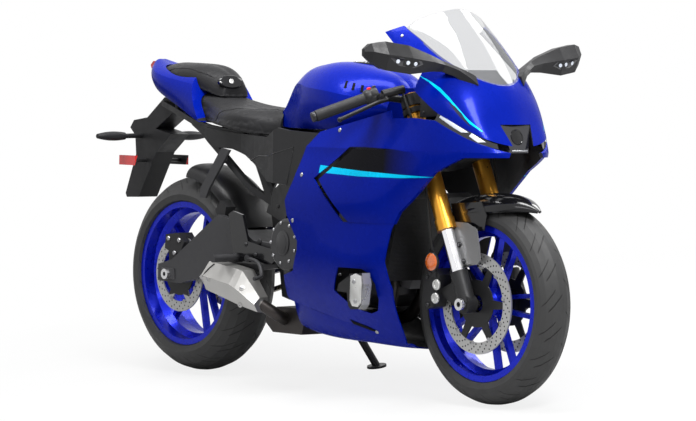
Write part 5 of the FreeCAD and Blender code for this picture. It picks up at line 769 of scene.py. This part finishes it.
# Lamps
STRIPS = (
    (((1360, 852), (1384, 839), (1407, 825), (1429, 812), (1442, 803)),
     ((1355, 845), (1378, 830), (1402, 815), (1423, 803), (1435, 796))),
    (((1450, 801), (1464, 790), (1480, 776)), ((1444, 793), (1458, 781), (1474, 768))),
)
LAMP_LENS = ((24, -1), (24, 1.6), (21, 2.2), (19.5, 0.6), (10, 1.8), (1, 2.4))
lights = Pile()
for s, _ in BOTH:
    for strip in STRIPS:
        rows = [drape("running_lamps", between([(x, s * NEAR, z) for x, z in line], 9),
                      (0, -s, 0), 0.4) for line in strip]
        count = min(len(row) for row in rows)
        if count > 2:
            lights.ribbon(rows[0][:count], rows[1][:count], 1.4, way(0.4, s, 0.3))
line = [(1300, y, 750) for y in range(-30, 31, 10)]
spots = drape("headlamp", line, (-1, 0, 0), 0.6, 400)
if len(spots) == len(line):
    lights.pipe(spots, 1.8, 1)
spot, out = land("headlamp", (1700, 0, 790), (-1, 0, 0))
if spot is not None:
    lights.turned(spot, out, LAMP_LENS, 32, 2)
lights.make("lamp_elements", "root", [LED, LED_TUBE, GLOSS], "lamp_white")

tail_lights = Pile()
for z in (964, 976, 988):
    line = [(-300, y, z) for y in range(-22, 23, 11)]
    spots = drape("tail_lamp", line, (1, 0, 0), 0.4, 200)
    if len(spots) == len(line):
        tail_lights.pipe(spots, 2.2)
tail_lights.make("tail_lamp_elements", "root", [TAIL_GLOW], "lamp_red")

# Mirrors: the glass is a rounded square, the cover and its lamps face forward
MIRROR = (322, 1013)  # middle of the glass, across and up
GLASS_WIDE, GLASS_HIGH, GLASS_SQUARE = 60, 23, 0.6
COVER = ((-372, 1016), (-340, 1018), (-268, 1008), (-258, 998), (-290, 988), (-340, 994))
COVER_LAMPS = ((-346, 1007), (-314, 1003), (-288, 1000))
COVER_LAMP = ((6, -1), (6, 1.0), (4.6, 1.6), (2.4, 0.9), (0.6, 1.3))


def squared(value):
    return math.copysign(abs(value) ** GLASS_SQUARE, value)


glass = Pile()
for s, _ in BOTH:
    ring = [(1200, s * (MIRROR[0] - GLASS_WIDE * squared(math.cos(a))),
             MIRROR[1] + GLASS_HIGH * squared(math.sin(a))) for a in round_of(28)]
    spots = drape("mirrors", ring, (1, 0, 0), 0.2, 200)
    if len(spots) == len(ring):
        glass.slab(spots, way(-1, 0, 0), 1.2, sink=0.8, chamfer=0.5, shrink=0.97)
    spots = drape("mirrors", [(1600, -s * y, z) for y, z in COVER], (-1, 0, 0), 0.2, 100)
    if len(spots) == len(COVER):
        glass.slab(spots, FORWARD, 1.4, 1, sink=0.8)
    for y, z in COVER_LAMPS:
        spot, out = land("mirrors", (1700, -s * y, z), (-1, 0, 0))
        if spot is not None:
            glass.turned(spot + out * 0.0012, out, COVER_LAMP, 16, 2)
glass.make("mirror_parts", "root", [GLASS, mats["lamp_lens"], LED], "chrome_steel")

# Engine cover, muffler and side covers
COVER_MIDDLE = (655, 446)
COVER_SCREWS, COVER_RING, COVER_DEEP = 9, (60, 62), 0.045
LOWER_COVER_SCREWS = ((612, 290), (640, 272), (700, 268), (760, 300), (820, 330), (880, 360))
engine_bits = Pile()
face, _ = land("engine_covers", (COVER_MIDDLE[0], -FLANK, COVER_MIDDLE[1]), (0, 1, 0))
engine_bits.slab(oval(face, FORWARD, UPWARD, 0.030, 0.038, 36), RIGHTWARD, 4, chamfer=1.5,
                 shrink=0.9)
engine_bits.slab(oval(face + RIGHTWARD * 0.004, FORWARD, UPWARD, 0.020, 0.028, 36), RIGHTWARD,
                 1.6, chamfer=0.7, shrink=0.92)
for a in round_of(COVER_SCREWS, 0.35):
    start = (COVER_MIDDLE[0] + COVER_RING[0] * math.cos(a), -FLANK,
             COVER_MIDDLE[1] + COVER_RING[1] * math.sin(a))
    spot, _ = land("engine_covers", start, (0, 1, 0))
    if spot is not None and abs((spot - face).dot(RIGHTWARD)) < COVER_DEEP:
        engine_bits.screw(spot, RIGHTWARD, 5, 4, 1)
for x, z in LOWER_COVER_SCREWS:
    engine_bits.screw_on("engine_covers", (x, -FLANK, z), (0, 1, 0), 5.5, 5, 1)
engine_bits.make("engine_cover_details", "root", [mats["cover_grey"], BOLT], "cover_grey")

MUFFLER_SCREWS = ((486, 299), (330, 318), (470, 246))
MUFFLER_WASHER = ((9, -1), (9, 1.2), (7.6, 2.0), (5, 2.0))
OUTLET = ((306, 326), (312, 340), (320, 354), (330, 366))
can = Pile()
for x, z in MUFFLER_SCREWS:
    spot, out = land("muffler", (x, -FLANK, z), (0, 1, 0))
    if spot is not None:
        can.turned(spot, out, MUFFLER_WASHER, 24)
        can.screw(spot + out * 0.0016, out, 5, 2, 1)
spots = drape("muffler", [(x, -NEAR, z) for x, z in OUTLET], (0, 1, 0), 0.1)
if len(spots) > 1:
    can.pipe(spots, 2.6, 2)
can.make("muffler_fittings", "root", [mats["silencer_steel"], BOLT, METAL], "silencer_steel")

PANEL = ((400, 692), (454, 707), (524, 709), (660, 740), (628, 622), (495, 630), (400, 692))
LEAST_RUN = 8  # a bead that lands at no more points than this is left off
seams = Pile()
for s, _ in BOTH:
    route = between([(x, s * NEAR, z) for x, z in PANEL], 12)
    spots = drape("side_covers", route, (0, -s, 0))
    if len(spots) > LEAST_RUN:
        seams.pipe(spots, 1.3)
seams.make("side_cover_seams", "root", [GLOSS], "gloss_black")

# Black panels beside the instruments
SHIELD = ((1270, 180, 957), (1300, 179, 936), (1348, 178, 906), (1388, 171, 874),
          (1350, 178, 850), (1292, 181, 843), (1264, 182, 843))
shields = Pile()
for s, _ in BOTH:
    shields.slab([at(x, s * y, z) for x, y, z in SHIELD], way(0, s, 0), 3, sink=0.5, chamfer=0.8,
                 shrink=0.97)
    shields.screw(at(1282, s * 184, 858), way(0, s, 0), 5, 2.5, 1)
shields.make("cockpit_side_panels", "root", [PLASTIC, BOLT_BLACK], "black_plastic")

# Switch housings and bar ends
GRIP_END = 0.040  # a grip's end is the middle of what lies within this of its last point
HOUSING = ((19, -4), (22, 0), (23.5, 4), (23.5, 15), (22.5, 17), (23.5, 19), (23.5, 34),
           (20, 38), (16, 39))
BAR_END = ((14, 0), (15.5, 2), (15.5, 11), (13, 14), (5, 14.6))
SWITCH = ((-0.005, -0.008), (0.005, -0.008), (0.005, 0.008), (-0.005, 0.008))
SWITCH_LIFT, SWITCH_STEPS = 0.0225, (0.012, 0.028)
RED, RUBBER, ENDS = 1, 2, 3  # materials of the housings


def grip_ends(name, side):
    """The inner and outer end points of one side's grip, from its own mesh."""
    pts = [v.co for v in nodes[name].data.vertices if (LEVEL @ v.co).y * side > 0]
    tips = [pick(pts, key=lambda p: abs((LEVEL @ p).y)) for pick in (min, max)]
    near = [[p for p in pts if (p - tip).length < GRIP_END] for tip in tips]
    return [sum(row, Vector()) / len(row) for row in near]


controls = Pile()
for s, _ in BOTH:
    inner, outer = grip_ends("hand_grips", s)
    axis = (inner - outer).normalized()
    controls.turned(inner + axis * 0.004, axis, HOUSING, 12)
    cross = axis.cross(UPWARD).normalized()
    for step, kind in zip(SWITCH_STEPS, (RED if s < 0 else RUBBER, RUBBER)):
        base = inner + axis * step + UPWARD * SWITCH_LIFT
        controls.slab([base + axis * a + cross * c for a, c in SWITCH], UPWARD, 6, kind,
                      sink=3.0, chamfer=1.2, shrink=0.8)
    controls.turned(outer - axis * 0.002, -axis, BAR_END, 24, ENDS)
controls.make("switch_housings", "steering",
              [PLASTIC, RED_SWITCH, mats["grip_rubber"], BOLT_BLACK], "black_plastic")

# Display: a row of bars over small fields
FIELD = ((-62, 950), (62, 950), (62, 974), (-62, 974))
BARS, BLUE_BARS = 14, 11
panel = Pile()
corners = drape("instrument_panel", [(1316, y, z) for y, z in FIELD], (1, 0, 0), 0.2, 200)
if len(corners) == len(FIELD):
    across, rise = corners[1] - corners[0], corners[3] - corners[0]
    out = across.cross(corners[2] - corners[0]).normalized()
    if out.dot(way(-1, 0, 0.3)) < 0:
        out = -out
    panel.slab(corners, out, 1.2, sink=0.6, chamfer=0.5, shrink=0.97)
    base = corners[0] + out * 0.0012
    tiles = [(0.08 + 0.06 * k, 0.12 + 0.06 * k, 0.72, 0.88 - 0.004 * k, 1 if k < BLUE_BARS else 2)
             for k in range(BARS)]
    tiles.append((0.40, 0.60, 0.25, 0.6, 3))
    for u in (0.1, 0.2, 0.7, 0.8):
        tiles += [(u, u + 0.07, 0.25, 0.34, 1), (u, u + 0.07, 0.45, 0.54, 3)]
    for u0, u1, v0, v1, kind in tiles:
        tile = ((u0, v0), (u1, v0), (u1, v1), (u0, v1))
        panel.slab([base + across * u + rise * v for u, v in tile], out, 0.3, kind,
                   sink=0.2, chamfer=0.1)
panel.make("display_parts", "root",
           [DISPLAY, glow("display_cyan", (0.05, 0.55, 0.7, 1), 0.35),
            glow("display_red", (0.7, 0.05, 0.03, 1), 0.35),
            glow("display_grey", (0.5, 0.52, 0.55, 1), 0.15)], "black_plastic")

# Padded seats
VOXEL = 0.005
UNDERSIDE = -0.35  # faces that look down more than this rest on the seat's base and are held
SHRINK, CAP = 0.004, 0.005
PRESSURE, LAST_FRAME = 4.0, 20


def blow_up(pad, held):
    """Where cloth under pressure takes a pad's points."""
    pad.vertex_groups.new(name="held").add(held, 1.0, "REPLACE")
    swell = pad.modifiers.new("swell", "CLOTH")
    swell.settings.quality = 5
    swell.settings.mass = 0.3
    swell.settings.use_pressure = True
    swell.settings.uniform_pressure_force = PRESSURE
    swell.settings.effector_weights.gravity = 0.0
    swell.settings.vertex_group_mass = "held"
    swell.collision_settings.use_collision = False
    swell.point_cache.frame_start, swell.point_cache.frame_end = 1, LAST_FRAME
    for step in range(1, LAST_FRAME + 1):
        scene.frame_set(step)
    graph = bpy.context.evaluated_depsgraph_get()
    blown = pad.evaluated_get(graph).to_mesh()
    places = [v.co.copy() for v in blown.vertices]
    pad.evaluated_get(graph).to_mesh_clear()
    pad.modifiers.clear()
    pad.vertex_groups.clear()
    scene.frame_set(1)
    return places


def padded_seat(name, piece):
    """A seat pad blown up by cloth from its own solid, its underside held where it rests."""
    mesh = nodes[name].data.copy()
    mesh.name = piece
    pad = add_object(piece, mesh)
    voxels = pad.modifiers.new("voxels", "REMESH")
    voxels.mode = "VOXEL"
    voxels.voxel_size = VOXEL
    voxels.use_smooth_shade = True
    soft = pad.modifiers.new("soft", "SMOOTH")
    soft.factor = 0.5
    soft.iterations = 4
    graph = bpy.context.evaluated_depsgraph_get()
    fresh = bpy.data.meshes.new_from_object(pad.evaluated_get(graph))
    pad.modifiers.clear()
    pad.data = fresh
    normals = [v.normal.copy() for v in fresh.vertices]
    held = [i for i, n in enumerate(normals) if (LEVEL3 @ n).z < UNDERSIDE]
    resting = set(held)
    for i, (v, n) in enumerate(zip(fresh.vertices, normals)):
        if i not in resting:
            v.co -= n * SHRINK
    start = [v.co.copy() for v in fresh.vertices]
    for v, old, new in zip(fresh.vertices, start, blow_up(pad, held)):
        move = new - old
        v.co = old + move * min(1.0, CAP / max(move.length, 1e-9))
    fresh.materials.clear()
    fresh.materials.append(mats["seat_cover"])
    for p in fresh.polygons:
        p.use_smooth = True
    finer = pad.modifiers.new("finer", "SUBSURF")
    finer.levels = finer.render_levels = 1
    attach(pad, "root")
    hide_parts(name)
    trees[piece] = tree_of(fresh)


padded_seat("rider_seat", "rider_pad")
padded_seat("pillion_seat", "pillion_pad")

# A welt is its pad, the height it is cast from, its radius and its route along one side
WELTS = (("rider_pad", 850, 1.6, ((90, 108), (180, 128), (290, 118), (400, 74), (478, 48))),
         ("pillion_pad", 930, 1.4, ((-140, 60), (-40, 72), (60, 70), (120, 55))))
welts = Pile()
for s, _ in BOTH:
    for pad, height, radius, corners in WELTS:
        route = between([(x, s * y, 0) for x, y in corners], 8)
        spots = drape(pad, [(p.x, p.y, height) for p in route], (0, 0, -1))
        if len(spots) > LEAST_RUN:
            welts.pipe(spots, radius)
welts.make("seat_welts", "root", [WELT], "seat_cover")

LOCK_BARREL = ((8, -1), (8, 2.0), (7, 2.6), (5.5, 2.6), (5, 1.8), (1, 1.8))
lock = Pile()
spot, out = land("pillion_pad", (400, -20, 934), (-1, 0, 0))
if spot is not None:
    across = out.cross(UPWARD).normalized()
    lock.slab(oval(spot, across, across.cross(out), 0.044, 0.021, 32), out, 4.0, sink=8.0,
              chamfer=1.5)
    lock.turned(spot + out * 0.004, out, LOCK_BARREL, 28, 1)
lock.make("seat_lock", "root", [GLOSS, SILVER], "gloss_black")

# Chassis fasteners
ADJUSTER = ((-34, 300), (-30, 334), (36, 334), (40, 300))
CHASSIS_SCREWS = (("frame", 498, 470, 9), ("frame", 520, 552, 7), ("frame", 566, 640, 7),
                  ("frame", 900, 700, 8), ("frame", 1010, 730, 7), ("subframe", 440, 640, 6),
                  ("swingarm", 470, 440, 10), ("rider_footrests", 420, 430, 7),
                  ("rider_footrests", 470, 400, 7), ("pillion_footrests", 200, 650, 6))
REAR_CALIPER_SCREWS = ((-22, 428), (34, 424), (10, 382))
FACING = 0.5  # a fastener is left off where the surface is turned further away than this
chassis = Pile()
for s, _ in BOTH:
    corners = drape("swingarm", [(x, s * NEAR, z) for x, z in ADJUSTER], (0, -s, 0), 0.2)
    if len(corners) == len(ADJUSTER):
        chassis.slab(corners, way(0, s, 0), 4, chamfer=1.2)
    for name, x, z, radius in CHASSIS_SCREWS:
        chassis.screw_on(name, (x, s * FLANK, z), (0, -s, 0), radius, 4.5, 1, least=FACING)
for x, z in REAR_CALIPER_SCREWS:
    chassis.screw_on("rear_caliper", (x, -FLANK, z), (0, 1, 0), 8, 5, 2, least=FACING)
chassis.make("chassis_fasteners", "root", [mats["dark_aluminium"], BOLT_BLACK, BOLT],
             "black_metal")

CAP_MIDDLE, CAP_RING, ABOVE_TANK = 799, 32, 1100
CAP_LOCK = ((9, -1), (9, 1.4), (7.6, 2), (3, 2), (2.6, 1), (1, 1))
cap = Pile()
for a in round_of(6, 0.4):
    start = (CAP_MIDDLE + CAP_RING * math.cos(a), CAP_RING * math.sin(a), ABOVE_TANK)
    cap.screw_on("fuel_cap", start, (0, 0, -1), 3.2, 2)
spot, out = land("fuel_cap", (806, 0, ABOVE_TANK), (0, 0, -1))
if spot is not None:
    cap.turned(spot, out, CAP_LOCK, 24)
cap.make("fuel_cap_fasteners", "fuel_cap", [BOLT], "black_metal")

# Floor: the camera sees it as white paper that fades into the white room, its shadow kept near
# the tyres
FLOOR_HALF = 60.0
floor_mesh = bpy.data.meshes.new("floor")
floor_mesh.from_pydata([(x * FLOOR_HALF, y * FLOOR_HALF, 0)
                        for x, y in ((-1, -1), (1, -1), (1, 1), (-1, 1))], [], [(0, 1, 2, 3)])
floor = add_object("floor", floor_mesh)
floor_mat, nt, matte = clean("floor_pale")
coloured(nt, matte, noise_of(nt, 0.8), (0.56, 0.56, 0.56, 1), (0.58, 0.58, 0.58, 1))
fit(matte, Roughness=0.9)
away = node(nt, "ShaderNodeVectorMath", operation="LENGTH")
nt.links.new(object_coords(nt), away.inputs[0])
fade = spread_of(nt, away.outputs["Value"], 0.84, 1.0, 1.0, 2.0)


def ray_is(nt, *kinds):
    """1 for a ray of one of some kinds."""
    rays = node(nt, "ShaderNodeLightPath")
    seen = rays.outputs["Is %s Ray" % kinds[0]]
    for kind in kinds[1:]:
        seen = calc(nt, "MAXIMUM", seen, rays.outputs["Is %s Ray" % kind])
    return seen


def blend_to(nt, share, one, other, target):
    """A mix of two shaders, on to an output."""
    mix = node(nt, "ShaderNodeMixShader")
    for i, source in enumerate((share, one.outputs[0], other.outputs[0])):
        nt.links.new(source, mix.inputs[i])
    nt.links.new(mix.outputs[0], nt.nodes[target].inputs[0])


paper = node(nt, "ShaderNodeEmission")
blend_to(nt, calc(nt, "MULTIPLY", ray_is(nt, "Camera", "Transmission"), fade), matte, paper,
         "Material Output")
floor_mesh.materials.append(floor_mat)

# World: a dim room that is white to the camera, to reflections and through glass
scene.world = bpy.data.worlds.new("studio")
scene.world.use_nodes = True
nt = scene.world.node_tree
room, white = nt.nodes["Background"], node(nt, "ShaderNodeBackground")
for background, strength in ((room, 0.1), (white, 1.0)):
    fit(background, Color=(1, 1, 1, 1), Strength=strength)
blend_to(nt, ray_is(nt, "Camera", "Glossy", "Transmission"), room, white, "World Output")

# Lights: name, place, aim, length, width, power
for name, place, aim, length, width, power in (
        ("overhead", (0.1, -0.2, 3.6), (0, -0.1, 0.5), 3.4, 1.1, 200),
        ("key", (2.0, -3.2, 3.4), (0.1, 0, 0.55), 1.6, 0.8, 22),
        ("front", (3.0, -0.5, 3.3), (0.5, 0, 0.8), 1.1, 1.1, 170),
        ("left", (0.2, 3.6, 3.0), (0, 0, 0.6), 2.4, 1.0, 50)):
    data = bpy.data.lights.new(name, "AREA")
    data.shape = "RECTANGLE"
    data.size, data.size_y, data.energy = length, width, power
    lamp = add_object(name, data)
    lamp.location = place
    lamp.rotation_euler = (Vector(aim) - Vector(place)).to_track_quat("-Z", "Y").to_euler()

# Camera, fitted to the photograph, in the upright machine's frame
DISTANCE, AZIMUTH, ELEVATION, ROLL = 11.0024, 0.701, 0.0426, 0.0121
AIM = Vector((0.725, 0.0, 0.5451))
FOCAL_PX, PHOTO_WIDTH, SENSOR = 3568.8, 696, 36.0
back = Vector((math.cos(ELEVATION) * math.cos(AZIMUTH),
               -math.cos(ELEVATION) * math.sin(AZIMUTH), math.sin(ELEVATION)))
eye = AIM + back * DISTANCE
right = (-back).cross(Vector((0, 0, 1))).normalized()
up = right.cross(-back)
right, up = (right * math.cos(ROLL) + up * math.sin(ROLL),
             up * math.cos(ROLL) - right * math.sin(ROLL))
pose = Matrix([(right[i], up[i], back[i], eye[i]) for i in range(3)] + [(0, 0, 0, 1)])
camera_data = bpy.data.cameras.new("camera")
camera_data.sensor_fit = "HORIZONTAL"
camera_data.sensor_width = SENSOR
camera_data.lens = FOCAL_PX / PHOTO_WIDTH * SENSOR
camera_data.clip_end = 200
scene.camera = add_object("camera", camera_data)
scene.camera.matrix_world = UPRIGHT @ pose
scene.view_settings.view_transform = "Standard"
